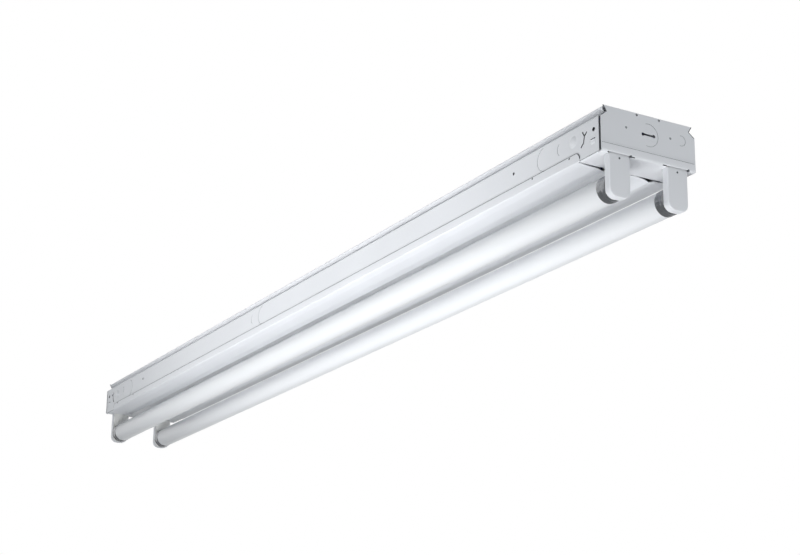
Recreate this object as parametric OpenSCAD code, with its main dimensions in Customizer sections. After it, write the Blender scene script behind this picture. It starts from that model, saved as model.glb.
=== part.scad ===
// Two-lamp fluorescent batten light, ceiling mounted, in millimetres.
// X runs along the lamps, Z points up and the origin is the centre of the ceiling face.

/* [Lamps] */
// Lamp length from base face to base face
lamp_l = 1199.4; // [560:0.1:1500]
// Outside diameter of the glass tube
tube_d = 25.4; // [20:0.1:28]
// Wall of the glass tube
tube_t = 0.8; // [0.6:0.05:1.2]
// Outside diameter of the metal end cap
cap_d = 25.9; // [24:0.1:29]
// Length of the metal end cap
cap_l = 11; // [8:0.5:18]
// Distance of each lamp axis inside the side wall
lamp_side_inset = 21; // [18:0.5:24]
// Drop of the lamp axes below the end saddles
lamp_drop = 28.2; // [26:0.1:34]
// Diameter of a lamp pin
pin_d = 2.35; // [2.2:0.05:2.5]
// Length of a lamp pin
pin_l = 6.6; // [6.2:0.05:6.7]
// Spacing of the two pins of one cap
pin_pitch = 12.7; // [12:0.1:13]

/* [Housing] */
// Width over the side walls
housing_w = 108; // [104:0.5:130]
// Height from the ceiling face to the underside of the end saddles
housing_h = 45; // [42:0.5:70]
// Thickness of the housing sheet
sheet_t = 0.7; // [0.5:0.05:0.9]
// Outside radius of the bends
bend_r = 1.2; // [1:0.1:2]
// Distance of the ceiling face's long edges inside the side walls
top_inset = 3.1; // [2:0.1:5]
// Depth of the groove under the ceiling face
groove_inset = 6.5; // [5.5:0.1:9]
// Distance of the groove's bottom below the ceiling face
groove_drop = 5.6; // [5:0.1:8]
// Distance of the shoulder below the ceiling face
shoulder_drop = 10.5; // [9.5:0.1:15]
// Diameter of the ceiling screw holes
ceiling_hole_d = 7.1; // [5:0.1:9]
// Spacing of the two ceiling screw holes
ceiling_hole_pitch = 914.4; // [300:0.1:1000]

/* [Cover and end saddles] */
// Thickness of the channel cover
cover_t = 0.6; // [0.5:0.05:0.9]
// Height of the cover lips on the side walls
cover_lip = 8.5; // [7:0.5:10]
// Distance of each cover bead inside the side wall
bead_inset = 27.6; // [24:0.1:32]
// Depth of the cover beads below the side edges
bead_depth = 3.4; // [1.5:0.1:4]
// Width of a cover bead at its root
bead_w = 12; // [9:0.1:14]
// Length of an end saddle along the housing
saddle_l = 35.1; // [30:0.1:45]
// Height of the saddle lip on the end plate
saddle_lip = 8.2; // [7:0.1:10]
// Thickness of the end plate
plate_t = 0.8; // [0.6:0.05:0.9]

/* [Lampholders] */
// Width of a socket shield
shield_w = 23.4; // [23:0.1:25]
// Reach of a socket shield below the end saddle
shield_drop = 41; // [40.6:0.1:46]
// Radius of the shield's lower corners
shield_r = 8.5; // [7:0.1:9.5]
// Thickness of a socket shield
shield_t = 0.6; // [0.5:0.05:0.65]
// Diameter of the rotor that turns with the lamp pins
rotor_d = 15.9; // [15.5:0.1:16]

/* [Ballast] */
// Length of the ballast base with its ears
ballast_l = 241; // [200:1:250]
// Width of the ballast
ballast_w = 42.9; // [38:0.1:46]
// Height of the ballast
ballast_h = 29; // [26:0.5:32]
// Outside diameter of a lead
lead_d = 2.1; // [1.8:0.1:2.4]

/* [Hidden] */

// Roundness of turned shapes and of bends
$fn = 48;
bend_steps = 4;
// Overrun of every cut
over = 1;
// Clearance at a seat, between sliding flat faces and round a turning part
seat_gap = 0.3;
slide_gap = 0.3;
run_gap = 0.05;

white_steel = "whitesmoke";
white_glass = "white";

// Distances from the overall end to the layers of an end, outside to inside
lamp_inset = 9.9;
fixture_l = lamp_l + 2 * lamp_inset;
half_l = fixture_l / 2;
half_w = housing_w / 2;
plate_out = sheet_t;
shield_out = plate_out + plate_t;
holder_out = shield_out + shield_t;
holder_in = 9.6;
holder_mid = (holder_out + holder_in) / 2;
shield_in = 8.6;
wall_end = 3.9;
lamp_y = half_w - lamp_side_inset;
lamp_z = -housing_h - lamp_drop;
wall_low = -housing_h + sheet_t;

// Side wall features, each as distance from the overall end and height over the lower edge
pin_hole = [11.2, 23.9];
pin_hole_d = 4;
lance_slit = [12.4, 15.1];
lance_slit_size = [7, 0.9];
catch_slot = [[28.2, 26.9], [25.3, 21.9], [26.8, 15.7], [30.8, 12.3]];
catch_arm = [21.6, 25.1];
catch_slot_w = 1.4;
dome = [43, 22];
dome_d = 12;
dome_h = 1.3;
small_knockout = [60.7, 22];
small_knockout_r = 7;
small_tie_angle = 250;
big_knockout = [89, 21];
big_knockout_r = 11.5;
big_tie_angle = 190;
cover_hole = [140.5, 23.3];
cover_hole_d = 3;
middle_big_knockout = 84;
middle_small_knockout = 108.5;
groove_w = 0.45;
groove_depth = 0.3;

// End plate features: distance from the middle or inside a side wall, and height over the lower edge
relief_y = 12.8;
relief_drop = 1.7;
relief_d = 2.2;
end_dimple = [28.7, 28.3];
end_dimple_d = 2.4;
entry_slot_z = 26;
entry_slot_l = 12.4;
entry_slot_w = 1.7;
entry_lobe_d = 3.2;
end_knockout_r = 11.1;
end_tie_angle = 150;
side_knockout = [16, 28.8];
side_knockout_r = 5;
plate_flange_l = 12;
plate_flange_inset = 12;

// Saddle details
saddle_bend_r = 2.6;
saddle_flange_h = 12;
saddle_flange_from = 6;
shield_slit_out = 13.7;
shield_slit_in = 17.2;
shield_slit_w = 0.8;
shield_tab_h = 6;
shield_dot = [12.2, 3.6];
shield_dot_d = 1.8;
shield_dot_depth = 0.25;

// Cover details
cover_gap = 0.5;
// Gentle slopes beside the beads: where they end, how deep they are and how their bends are rounded
cover_outer_inset = 8;
cover_outer_drop = 1;
cover_root_drop = 1.4;
cover_inner_reach = 14.4;
cover_inner_drop = 0.4;
bead_y = half_w - bead_inset;
cover_lip_r = 1;
cover_gentle_r = 30;
cover_root_r = 12;
cover_tip_r = 1.5;
lip_reach = 2.7;
lip_corner_r = 6;
lip_dimple_d = 2;
lip_dimple_inset = 1.2;
lip_dimple_x = [48.2, 107.8];
lip_dimple_depth = 0.2;
end_notch_reach = [-19.4, 11.6];
end_notch_d = 1.8;

// Lampholder details
holder_side_gap = 0.2;
holder_top = 7;
holder_back_t = 0.5;
rotor_back_gap = 0.1;
rotor_web_t = 0.4;
rotor_front_gap = 0.3;
pin_slot_gap = 0.2;
leaf_t = 0.4;
leaf_gap = 0.35;
leaf_h = 9;
leaf_pocket_t = 0.8;
leaf_pocket_h = 9.4;
terminal_y = 5;
terminal_depth = 5;

// Lamp details
cap_t = 0.5;
cap_edge_r = 1.6;
insulator_d = 19;
insulator_t = 1.4;
neck_gap = 0.25;
glass_end_gap = 2;
stem_d = 8;
stem_l = 24;
wire_d = 0.6;
coil_d = 1.6;
coil_reach = 9;

// Ballast details
ear_l = 13;
base_t = 0.8;
case_t = 0.6;
board_t = 1.6;
board_drop = 6;
board_end_gap = 4;
ear_hole_inset = 7.5;
screw_d = 3.9;
screw_head_d = 8;
screw_head_h = 2.4;
exit_hole_d = 9;
exit_drop = 15;
coil_xs = [-62, 8];
coil_size = [26, 24, 17];
coil_core_size = [30, 10, 19.3];
capacitor_xs = [-20, 48, 76];
capacitor_ds = [16, 11, 11];
capacitor_h = 18;

// Leads and their places
lead_r = lead_d / 2;
lead_bend = 5;
lead_sides = 8;
lane_y = lamp_y + terminal_y;
lane_z = -sheet_t - plate_t - seat_gap - lead_r;
lead_x = half_l - holder_mid;
lamp_pair_y = 2.6;
line_pair_y = 1.3;
line_pair_rise = 2.3;
exit_reach = 18;
line_reach = 28;
line_slope_l = 12;
plug_x = 168;
plug_size = [17, 16, 8];
plug_hole_l = 10;
plug_grip = 5;
plug_z = -sheet_t - seat_gap - plug_size[2] / 2;
line_y = 3.6;
clip_xs = [230, 440];
clip_size = [6, 8];
clip_wall = 1.2;
ground_x = -210;

// Directions and rounded paths
function unit(v) = v / norm(v);
function turned(v) = [-v[1], v[0]];

// Arc of radius r that rounds the corner b between a and c
function corner(a, b, c, r) =
    let (u = unit(a - b), v = unit(c - b), half = acos(u * v) / 2, arc = 180 - 2 * half)
    let (o = b + unit(u + v) * r / sin(half), reach = r / tan(half))
    let (s = b + u * reach - o, e = b + v * reach - o)
    [for (k = [0:bend_steps])
        o + (sin(arc * (1 - k / bend_steps)) * s + sin(arc * k / bend_steps) * e) / sin(arc)];

// Path p with each inner corner rounded by one radius or by a list of them
function rounded(p, r) = [p[0], for (i = [1:len(p) - 2])
    each corner(p[i - 1], p[i], p[i + 1], is_list(r) ? r[i] : r), p[len(p) - 1]];

// Path p moved sideways by t, to the right of its direction
function beside(p, t) = [for (i = [0:len(p) - 1])
    let (a = unit(p[max(i, 1)] - p[max(i, 1) - 1]))
    let (b = unit(p[min(i, len(p) - 2) + 1] - p[min(i, len(p) - 2)]))
    p[i] - (turned(a) + turned(b)) * t / (1 + a * b)];

function backward(p) = [for (i = [len(p) - 1:-1:0]) p[i]];

// Outline of a bent sheet whose outer face follows path p
function sheet_outline(p, t, r) = let (q = rounded(p, r)) concat(q, backward(beside(q, t)));

// A profile across the fixture, run along X for length l about the middle
module along_x(l) {
    translate([-l / 2, 0, 0])
        rotate([90, 0, 90])
            linear_extrude(l)
                children();
}

// A profile in X and Z, run along Y for width w about the middle
module along_y(w) {
    translate([0, w / 2, 0])
        rotate([90, 0, 0])
            linear_extrude(w)
                children();
}

// A cylinder along X that starts at x
module rod_x(x, l, d) {
    translate([x, 0, 0])
        rotate([0, 90, 0])
            cylinder(d = d, h = l);
}

// A box given by its lower and upper corners
module span(low, high) {
    translate(low)
        cube(high - low);
}

// Both ends of the fixture, drawn at the +X end
module end_a() {
    translate([half_l, 0, 0])
        children();
}

module end_b() {
    mirror([1, 0, 0])
        end_a()
            children();
}

module lamp_1() {
    translate([0, -lamp_y, 0])
        mirror([0, 1, 0])
            children();
}

module lamp_2() {
    translate([0, lamp_y, 0])
        children();
}

module on_both_sides() {
    children();
    mirror([0, 1, 0])
        children();
}

module on_both_ends() {
    children();
    mirror([1, 0, 0])
        children();
}

// Section of the channel from one lower edge over the ceiling face to the other
channel_side = [[half_w, wall_low], [half_w, -shoulder_drop],
    [half_w - groove_inset, -groove_drop], [half_w - top_inset, 0]];
channel_path = concat([for (p = channel_side) [-p[0], p[1]]], backward(channel_side));

// Shallow ring groove with a tie, as around a knockout disc, on a wall whose face is z = 0
module knockout_ring(r, tie, from) {
    rotate([0, 0, from + tie / 2])
        rotate_extrude(angle = 360 - tie)
            translate([r - groove_w / 2, -groove_depth])
                square([groove_w, groove_depth + over]);
}

// Slot of width w along path p
module slot_along(p, w, depth) {
    translate([0, 0, -depth])
        linear_extrude(depth + over)
            polygon(concat(beside(p, w / 2), backward(beside(p, -w / 2))));
}

// Frame on the outside of the -Y wall: x is the distance from the +X end, y the height
module side_face() {
    translate([half_l, -half_w, -housing_h])
        rotate([90, 0, 0])
            mirror([1, 0, 0])
                children();
}

module side_cuts() {
    depth = sheet_t + over;
    side_face() {
        translate([pin_hole[0], pin_hole[1], -depth])
            cylinder(d = pin_hole_d, h = depth + over);
        translate([lance_slit[0], lance_slit[1], 0])
            cube([lance_slit_size[0], lance_slit_size[1], 2 * depth], center = true);
        slot_along(catch_slot, catch_slot_w, depth);
        slot_along([catch_arm, catch_slot[1]], catch_slot_w, depth);
        translate([cover_hole[0], cover_hole[1], -depth])
            cylinder(d = cover_hole_d, h = depth + over);
        translate([small_knockout[0], small_knockout[1], 0])
            knockout_ring(small_knockout_r, small_tie_angle, 180);
        translate([big_knockout[0], big_knockout[1], 0])
            knockout_ring(big_knockout_r, big_tie_angle, 180);
        translate([dome[0], dome[1], 0])
            dome_ball(sheet_t);
    }
}

dome_ball_r = (dome_d * dome_d / 4 + dome_h * dome_h) / (2 * dome_h);

// Ball that gives the raised dome its face, or its hollow when it is shrunk by the sheet
module dome_ball(shrink) {
    translate([0, 0, dome_h - dome_ball_r])
        rotate([90, 0, 0])
            sphere(r = dome_ball_r - shrink);
}

module dome_face() {
    intersection() {
        dome_ball(0);
        translate([0, 0, -sheet_t / 2])
            cylinder(d = dome_d + 4 * sheet_t, h = dome_h + sheet_t);
    }
}

module middle_cuts() {
    translate([0, -half_w, -housing_h])
        rotate([90, 0, 0]) {
            translate([-middle_big_knockout, big_knockout[1], 0])
                knockout_ring(big_knockout_r, big_tie_angle, 0);
            translate([-middle_small_knockout, small_knockout[1], 0])
                knockout_ring(small_knockout_r, small_tie_angle, 0);
        }
}

module housing_channel() {
    color(white_steel)
        difference() {
            union() {
                along_x(fixture_l - 2 * wall_end)
                    polygon(sheet_outline(channel_path, sheet_t, bend_r));
                on_both_ends()
                    on_both_sides()
                        side_face()
                            translate([dome[0], dome[1], 0])
                                dome_face();
                on_both_ends()
                    span([half_l - wall_end - over, relief_y - half_w, -sheet_t],
                        [half_l - shield_out, half_w - relief_y, 0]);
            }
            on_both_ends()
                on_both_sides()
                    side_cuts();
            on_both_sides()
                middle_cuts();
            for (x = [-ceiling_hole_pitch / 2, ceiling_hole_pitch / 2])
                translate([x, 0, -sheet_t - over])
                    cylinder(d = ceiling_hole_d, h = sheet_t + 2 * over);
            on_both_ends()
                translate([ballast_l / 2 - ear_hole_inset, 0, -sheet_t - over])
                    cylinder(d = screw_d + 2 * run_gap, h = sheet_t + 2 * over);
            translate([ground_x, 0, -sheet_t - over])
                cylinder(d = screw_d + 2 * run_gap, h = sheet_t + 2 * over);
        }
}

// Flat end plate that follows the channel's section, with a flange under the ceiling face
module end_plate() {
    low = -housing_h;
    color(white_steel)
        difference() {
            union() {
                translate([-plate_out - plate_t / 2, 0, 0])
                    along_x(plate_t)
                        polygon(channel_path);
                span([-plate_out - plate_flange_l, plate_flange_inset - half_w, -sheet_t - plate_t],
                    [-plate_out, half_w - plate_flange_inset, -sheet_t]);
            }
            span([-plate_out - plate_t - over, sheet_t - half_w, low - over],
                [over - plate_out, half_w - sheet_t, low + saddle_bend_r]);
            for (y = [-relief_y, relief_y])
                translate([0, y, -relief_drop])
                    rod_x(-plate_out - plate_t - over, plate_t + 2 * over, relief_d);
            on_both_sides()
                translate([-plate_out, half_w - end_dimple[0], low + end_dimple[1]])
                    rod_x(-plate_t / 2, plate_t, end_dimple_d);
            translate([-plate_out - plate_t / 2, 0, low + entry_slot_z])
                cube([plate_t + 2 * over, entry_slot_l, entry_slot_w], center = true);
            for (y = [-entry_slot_l / 2, entry_slot_l / 2])
                translate([0, y, low + entry_slot_z])
                    rod_x(-plate_out - plate_t - over, plate_t + 2 * over, entry_lobe_d);
            translate([-plate_out, 0, low + entry_slot_z])
                rotate([90, 0, 90])
                    knockout_ring(end_knockout_r, end_tie_angle, 180);
            translate([-plate_out, half_w - side_knockout[0], low + side_knockout[1]])
                rotate([90, 0, 90])
                    knockout_ring(side_knockout_r, end_tie_angle, 180);
        }
}

module end_plate_a() end_a() end_plate();
module end_plate_b() end_b() mirror([0, 1, 0]) end_plate();

// Section of the clip-on cover from one lip to the other, outer face
cover_half_w = half_w + slide_gap + cover_t;
lip_dimple_z = cover_lip - lip_dimple_inset - housing_h;
cover_side = [[cover_half_w, cover_lip - housing_h], [cover_half_w, -housing_h],
    [half_w - cover_outer_inset, -housing_h - cover_outer_drop],
    [bead_y + bead_w / 2, -housing_h - cover_root_drop], [bead_y, -housing_h - bead_depth],
    [bead_y - bead_w / 2, -housing_h - cover_root_drop],
    [bead_y - cover_inner_reach, -housing_h - cover_inner_drop]];
cover_radii = [cover_lip_r, cover_lip_r, cover_gentle_r, cover_root_r, cover_tip_r, cover_root_r,
    cover_gentle_r];
cover_path = concat([for (p = cover_side) [-p[0], p[1]]], backward(cover_side));
cover_corners = concat(cover_radii, backward(cover_radii));
cover_l = fixture_l - 2 * saddle_l - 2 * cover_gap;
lip_l = cover_l + 2 * lip_reach;

module channel_cover() {
    color(white_steel)
        difference() {
            union() {
                along_x(lip_l)
                    polygon(sheet_outline(cover_path, -cover_t, cover_corners));
                on_both_ends()
                    on_both_sides()
                        for (x = lip_dimple_x)
                            translate([half_l - x, -cover_half_w + cover_t / 2, lip_dimple_z])
                                rotate([-90, 0, 0])
                                    cylinder(d = lip_dimple_d, h = cover_t / 2 + lip_dimple_depth);
            }
            on_both_ends()
                on_both_sides()
                    translate([lip_l / 2 - lip_corner_r, 0, cover_lip - housing_h - lip_corner_r])
                        lip_corner();
            on_both_ends()
                on_both_sides()
                    for (x = lip_dimple_x)
                        translate([half_l - x, -cover_half_w - over, lip_dimple_z])
                            rotate([-90, 0, 0])
                                cylinder(d = lip_dimple_d, h = over + lip_dimple_depth);
            on_both_ends()
                span([cover_l / 2, -half_w, -housing_h - bead_depth - over],
                    [lip_l / 2 + over, half_w, cover_lip - housing_h]);
            on_both_ends()
                on_both_sides()
                    for (y = end_notch_reach)
                        translate([cover_l / 2, bead_y + y, -housing_h - bead_depth - over])
                            cylinder(d = end_notch_d, h = bead_depth + 2 * over);
        }
}

// Waste outside the rounded upper corner of a lip
module lip_corner() {
    difference() {
        span([0, -cover_half_w - over, 0], [lip_corner_r + over, -half_w, lip_corner_r + over]);
        translate([0, -cover_half_w - 2 * over, 0])
            rotate([-90, 0, 0])
                cylinder(r = lip_corner_r, h = cover_t + slide_gap + 4 * over);
    }
}

// End saddle: a tray under the housing's end with a lip up the end plate and inner side flanges
module end_saddle() {
    path = [[-saddle_flange_from, -housing_h], [0, -housing_h], [0, saddle_lip - housing_h]];
    flange_y = half_w - sheet_t;
    flange_top = saddle_flange_h - housing_h;
    tray = [[-flange_y, flange_top], [-flange_y, -housing_h], [flange_y, -housing_h],
        [flange_y, flange_top]];
    tray_l = saddle_l - saddle_flange_from;
    hole_half = shield_w / 2 + holder_side_gap;
    color(white_steel)
        difference() {
            union() {
                along_y(2 * flange_y)
                    polygon(sheet_outline(path, -sheet_t, saddle_bend_r));
                translate([-saddle_flange_from - tray_l / 2, 0, 0])
                    along_x(tray_l)
                        polygon(sheet_outline(tray, -sheet_t, saddle_bend_r));
            }
            on_both_sides()
                span([-holder_in - holder_side_gap, lamp_y - hole_half, -housing_h - over],
                    [-plate_out, lamp_y + hole_half, -housing_h + saddle_bend_r]);
            on_both_sides()
                span([-plate_out - shield_slit_w, lamp_y - shield_slit_in, -housing_h - over],
                    [-plate_out, lamp_y + shield_slit_out, -housing_h + saddle_bend_r]);
        }
}

module end_saddle_a() end_a() end_saddle();
module end_saddle_b() end_b() end_saddle();

// Outline of a shield or lampholder: straight sides and rounded lower corners
module holder_outline(w, top, bottom, r) {
    translate([-w / 2, bottom + r])
        square([w, top - bottom - r]);
    translate([-w / 2 + r, bottom])
        square([w - 2 * r, r + over]);
    for (y = [-w / 2 + r, w / 2 - r])
        translate([y, bottom + r])
            circle(r = r);
}

// Pressed steel cup that stands down from the saddle round one lampholder
module socket_shield() {
    depth = shield_in - shield_out;
    bottom = -housing_h - shield_drop;
    color(white_steel)
        difference() {
            translate([-shield_in + depth / 2, 0, 0])
                along_x(depth)
                    holder_outline(shield_w, -housing_h, bottom, shield_r);
            translate([-shield_in - over + depth / 2, 0, 0])
                along_x(depth + 2 * over - 2 * shield_t)
                    holder_outline(shield_w - 2 * shield_t, -housing_h + over, bottom + shield_t,
                        shield_r - shield_t);
            translate([-shield_out, shield_w / 2 - shield_dot[0], -housing_h - shield_dot[1]])
                rod_x(-shield_dot_depth, over, shield_dot_d);
        }
    color(white_steel)
        span([-shield_out - shield_t, -shield_w / 2, -housing_h - over],
            [-shield_out, shield_w / 2, shield_tab_h - housing_h]);
}

module socket_shield_a1() end_a() lamp_1() socket_shield();
module socket_shield_a2() end_a() lamp_2() socket_shield();
module socket_shield_b1() end_b() lamp_1() socket_shield();
module socket_shield_b2() end_b() lamp_2() socket_shield();

// Turn-type lampholder body with the pins' way in from below and a round rotor seat
holder_w = shield_w - 2 * shield_t - 2 * holder_side_gap;
holder_low = -housing_h - shield_drop + shield_t + holder_side_gap;
holder_r = shield_r - shield_t - holder_side_gap;
seat_back = holder_out + holder_back_t;
seat_d = rotor_d + 2 * run_gap;
slot_w = pin_d + 2 * pin_slot_gap;
leaf_y = seat_d / 2 + leaf_gap;

module lampholder() {
    depth = holder_in - holder_out;
    color("white")
        difference() {
            translate([-holder_out - depth / 2, 0, 0])
                along_x(depth)
                    holder_outline(holder_w, holder_top - housing_h, holder_low, holder_r);
            translate([0, 0, lamp_z])
                rod_x(-holder_in - over, holder_in + over - seat_back, seat_d);
            span([-holder_in - over, -slot_w / 2, holder_low - over], [-seat_back, slot_w / 2, lamp_z]);
            for (y = [-leaf_y, leaf_y])
                span([-holder_in - over, y - leaf_pocket_t / 2, lamp_z - leaf_pocket_h / 2],
                    [-seat_back, y + leaf_pocket_t / 2, lamp_z + leaf_pocket_h / 2]);
            for (y = [-terminal_y, terminal_y])
                translate([-holder_mid, y, holder_top - housing_h - terminal_depth])
                    cylinder(d = lead_d + 2 * run_gap, h = terminal_depth + over);
        }
}

module lampholder_a1() end_a() lamp_1() lampholder();
module lampholder_a2() end_a() lamp_2() lampholder();
module lampholder_b1() end_b() lamp_1() lampholder();
module lampholder_b2() end_b() lamp_2() lampholder();

// Rotor: a disc whose slot takes both pins, on a thin back web
module rotor() {
    back = seat_back + rotor_back_gap;
    front = holder_in - rotor_front_gap;
    color("gainsboro")
        translate([0, 0, lamp_z])
            difference() {
                rod_x(-front, front - back, rotor_d);
                span([-front - over, -rotor_d, -slot_w / 2], [-back - rotor_web_t, rotor_d, slot_w / 2]);
            }
}

module rotor_a1() end_a() lamp_1() rotor();
module rotor_a2() end_a() lamp_2() rotor();
module rotor_b1() end_b() lamp_1() rotor();
module rotor_b2() end_b() lamp_2() rotor();

// Two bronze leaves beside the rotor, one for each pin
module contacts() {
    color("darkgoldenrod")
        for (y = [-leaf_y, leaf_y])
            span([rotor_front_gap - holder_in, y - leaf_t / 2, lamp_z - leaf_h / 2],
                [-seat_back, y + leaf_t / 2, lamp_z + leaf_h / 2]);
}

module contacts_a1() end_a() lamp_1() contacts();
module contacts_a2() end_a() lamp_2() contacts();
module contacts_b1() end_b() lamp_1() contacts();
module contacts_b2() end_b() lamp_2() contacts();

// Glass tube, narrowed under the caps and closed by flat ends
neck_d = cap_d - 2 * cap_t - 2 * neck_gap;
glass_half = lamp_l / 2 - insulator_t - glass_end_gap;
neck_from = lamp_l / 2 - cap_l;

module lamp_tube() {
    outer = [[0, -glass_half], [neck_d / 2, -glass_half], [neck_d / 2, -neck_from],
        [tube_d / 2, -neck_from], [tube_d / 2, neck_from], [neck_d / 2, neck_from],
        [neck_d / 2, glass_half], [0, glass_half]];
    bore_r = neck_d / 2 - tube_t;
    color(white_glass)
        translate([0, 0, lamp_z])
            rotate([0, 90, 0])
                rotate_extrude()
                    difference() {
                        polygon(outer);
                        translate([0, tube_t - glass_half])
                            square([bore_r, 2 * (glass_half - tube_t)]);
                    }
}

module lamp_tube_1() lamp_1() lamp_tube();
module lamp_tube_2() lamp_2() lamp_tube();

// Aluminium cap with a rounded rim and an open face for the insulator
module lamp_cap() {
    r = cap_d / 2;
    arc = [for (k = [0:bend_steps]) [r - cap_edge_r + cap_edge_r * cos(90 * k / bend_steps),
        -cap_edge_r + cap_edge_r * sin(90 * k / bend_steps)]];
    color("silver")
        translate([-lamp_inset, 0, lamp_z])
            rotate([0, 90, 0])
                rotate_extrude()
                    difference() {
                        polygon(concat([[insulator_d / 2, -cap_l], [r, -cap_l]], arc,
                            [[insulator_d / 2, 0]]));
                        translate([0, -cap_l - over])
                            square([r - cap_t, cap_l + over - insulator_t]);
                    }
}

module lamp_cap_a1() end_a() lamp_1() lamp_cap();
module lamp_cap_a2() end_a() lamp_2() lamp_cap();
module lamp_cap_b1() end_b() lamp_1() lamp_cap();
module lamp_cap_b2() end_b() lamp_2() lamp_cap();

// Insulating disc in the cap's face, bored for the two pins
module cap_insulator() {
    color("dimgray")
        translate([-lamp_inset, 0, lamp_z])
            difference() {
                rod_x(-insulator_t, insulator_t, insulator_d - 2 * run_gap);
                for (side = [-1, 1])
                    translate([0, side * pin_pitch / 2, 0])
                        rod_x(-insulator_t - over, insulator_t + 2 * over, pin_d + 2 * run_gap);
            }
}

module cap_insulator_a1() end_a() lamp_1() cap_insulator();
module cap_insulator_a2() end_a() lamp_2() cap_insulator();
module cap_insulator_b1() end_b() lamp_1() cap_insulator();
module cap_insulator_b2() end_b() lamp_2() cap_insulator();

module lamp_pins() {
    root = insulator_t + glass_end_gap - seat_gap;
    color("gold")
        translate([-lamp_inset, 0, lamp_z])
            for (side = [-1, 1])
                translate([0, side * pin_pitch / 2, 0])
                    rod_x(-root, pin_l + root, pin_d);
}

module lamp_pins_a1() end_a() lamp_1() lamp_pins();
module lamp_pins_a2() end_a() lamp_2() lamp_pins();
module lamp_pins_b1() end_b() lamp_1() lamp_pins();
module lamp_pins_b2() end_b() lamp_2() lamp_pins();

// Stem, support wires and coiled filament inside one end of the glass
module cathode() {
    root = half_l - glass_half + tube_t;
    color("lightsteelblue")
        translate([0, 0, lamp_z]) {
            rod_x(-root - stem_l, stem_l, stem_d);
            for (side = [-1, 1])
                translate([0, side * stem_d / 4, 0])
                    rod_x(-root - stem_l - coil_reach, coil_reach + over, wire_d);
            translate([-root - stem_l - coil_reach, 0, 0])
                rotate([90, 0, 0])
                    cylinder(d = coil_d, h = stem_d, center = true);
        }
}

module cathode_a1() end_a() lamp_1() cathode();
module cathode_a2() end_a() lamp_2() cathode();
module cathode_b1() end_b() lamp_1() cathode();
module cathode_b2() end_b() lamp_2() cathode();

// Ballast: base plate with two ears against the channel, and a can that closes over it
base_z = -sheet_t - base_t;
case_l = ballast_l - 2 * ear_l;
case_low = -sheet_t - ballast_h;

module ballast_base() {
    color("silver")
        difference() {
            span([-ballast_l / 2, -ballast_w / 2, base_z], [ballast_l / 2, ballast_w / 2, -sheet_t]);
            on_both_ends()
                translate([ballast_l / 2 - ear_hole_inset, 0, base_z - over])
                    cylinder(d = screw_d + 2 * run_gap, h = base_t + 2 * over);
        }
}

module ballast_case() {
    color("gainsboro")
        difference() {
            span([-case_l / 2, -ballast_w / 2, case_low], [case_l / 2, ballast_w / 2, base_z]);
            span([case_t - case_l / 2, case_t - ballast_w / 2, case_low + case_t],
                [case_l / 2 - case_t, ballast_w / 2 - case_t, base_z + over]);
            translate([0, 0, -exit_drop])
                rod_x(-case_l / 2 - over, case_l + 2 * over, exit_hole_d);
        }
}

board_z = base_z - board_drop;

module ballast_board() {
    half_board = case_l / 2 - case_t - board_end_gap;
    color("darkkhaki")
        span([-half_board, case_t - ballast_w / 2, board_z - board_t],
            [half_board, ballast_w / 2 - case_t, board_z]);
}

module ballast_coils() {
    color("goldenrod")
        for (x = coil_xs)
            translate([x, 0, board_z - board_t]) {
                span([-coil_size[0] / 2, -coil_size[1] / 2, -coil_size[2]],
                    [coil_size[0] / 2, coil_size[1] / 2, 0]);
                span([-coil_core_size[0] / 2, -coil_core_size[1] / 2, -coil_core_size[2]],
                    [coil_core_size[0] / 2, coil_core_size[1] / 2, 0]);
            }
}

module ballast_capacitors() {
    color("steelblue")
        for (i = [0:len(capacitor_xs) - 1])
            translate([capacitor_xs[i], 0, board_z - board_t - capacitor_h])
                cylinder(d = capacitor_ds[i], h = capacitor_h);
}

// Pan-head screw whose shank passes up through the sheets and ends just under the ceiling face
module up_screw(grip) {
    translate([0, 0, -grip])
        cylinder(d = screw_d, h = grip - seat_gap);
    translate([0, 0, -grip - screw_head_h])
        cylinder(d = screw_head_d, h = screw_head_h);
}

module ballast_screws() {
    color("silver")
        on_both_ends()
            translate([ballast_l / 2 - ear_hole_inset, 0, 0])
                up_screw(sheet_t + base_t);
}

module ground_screw() {
    color("green")
        translate([ground_x, 0, 0])
            up_screw(sheet_t);
}

// Tangent of path p at point i
function heading(p, i) = unit(p[min(i + 1, len(p) - 1)] - p[max(i - 1, 0)]);

// Cross directions carried along the path without twist
function carried(p, i, u) = i == len(p) ? [] :
    let (t = heading(p, i), n = unit(u - (u * t) * t))
    concat([[n, cross(t, n)]], carried(p, i + 1, n));

// A round lead through the points p, whose corners are rounded
module lead(p, first_side) {
    q = rounded(p, lead_bend);
    f = carried(q, 0, first_side);
    n = lead_sides;
    rings = [for (i = [0:len(q) - 1], k = [0:n - 1])
        q[i] + lead_r * (cos(360 * k / n) * f[i][0] + sin(360 * k / n) * f[i][1])];
    walls = [for (i = [0:len(q) - 2], k = [0:n - 1])
        each let (a = i * n + k, b = i * n + (k + 1) % n) [[a, a + n, b], [a + n, b + n, b]]];
    last = (len(q) - 1) * n;
    polyhedron(points = rings, faces = concat([[for (k = [0:n - 1]) k]], walls,
        [[for (k = [n - 1:-1:0]) last + k]]));
}

exit_x = case_l / 2 - board_end_gap;
terminal_z = holder_top - housing_h - terminal_depth + seat_gap;

// Lamp lead from the ballast to the outer terminal of a lampholder, on the side of sign s
function lamp_lead(s) = let (x = case_l / 2 + exit_reach, y = s * lane_y)
    [[exit_x, s * lamp_pair_y, -exit_drop], [x, s * lamp_pair_y, -exit_drop], [x, y, -exit_drop],
    [x, y, lane_z], [lead_x, y, lane_z], [lead_x, y, terminal_z]];

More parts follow.
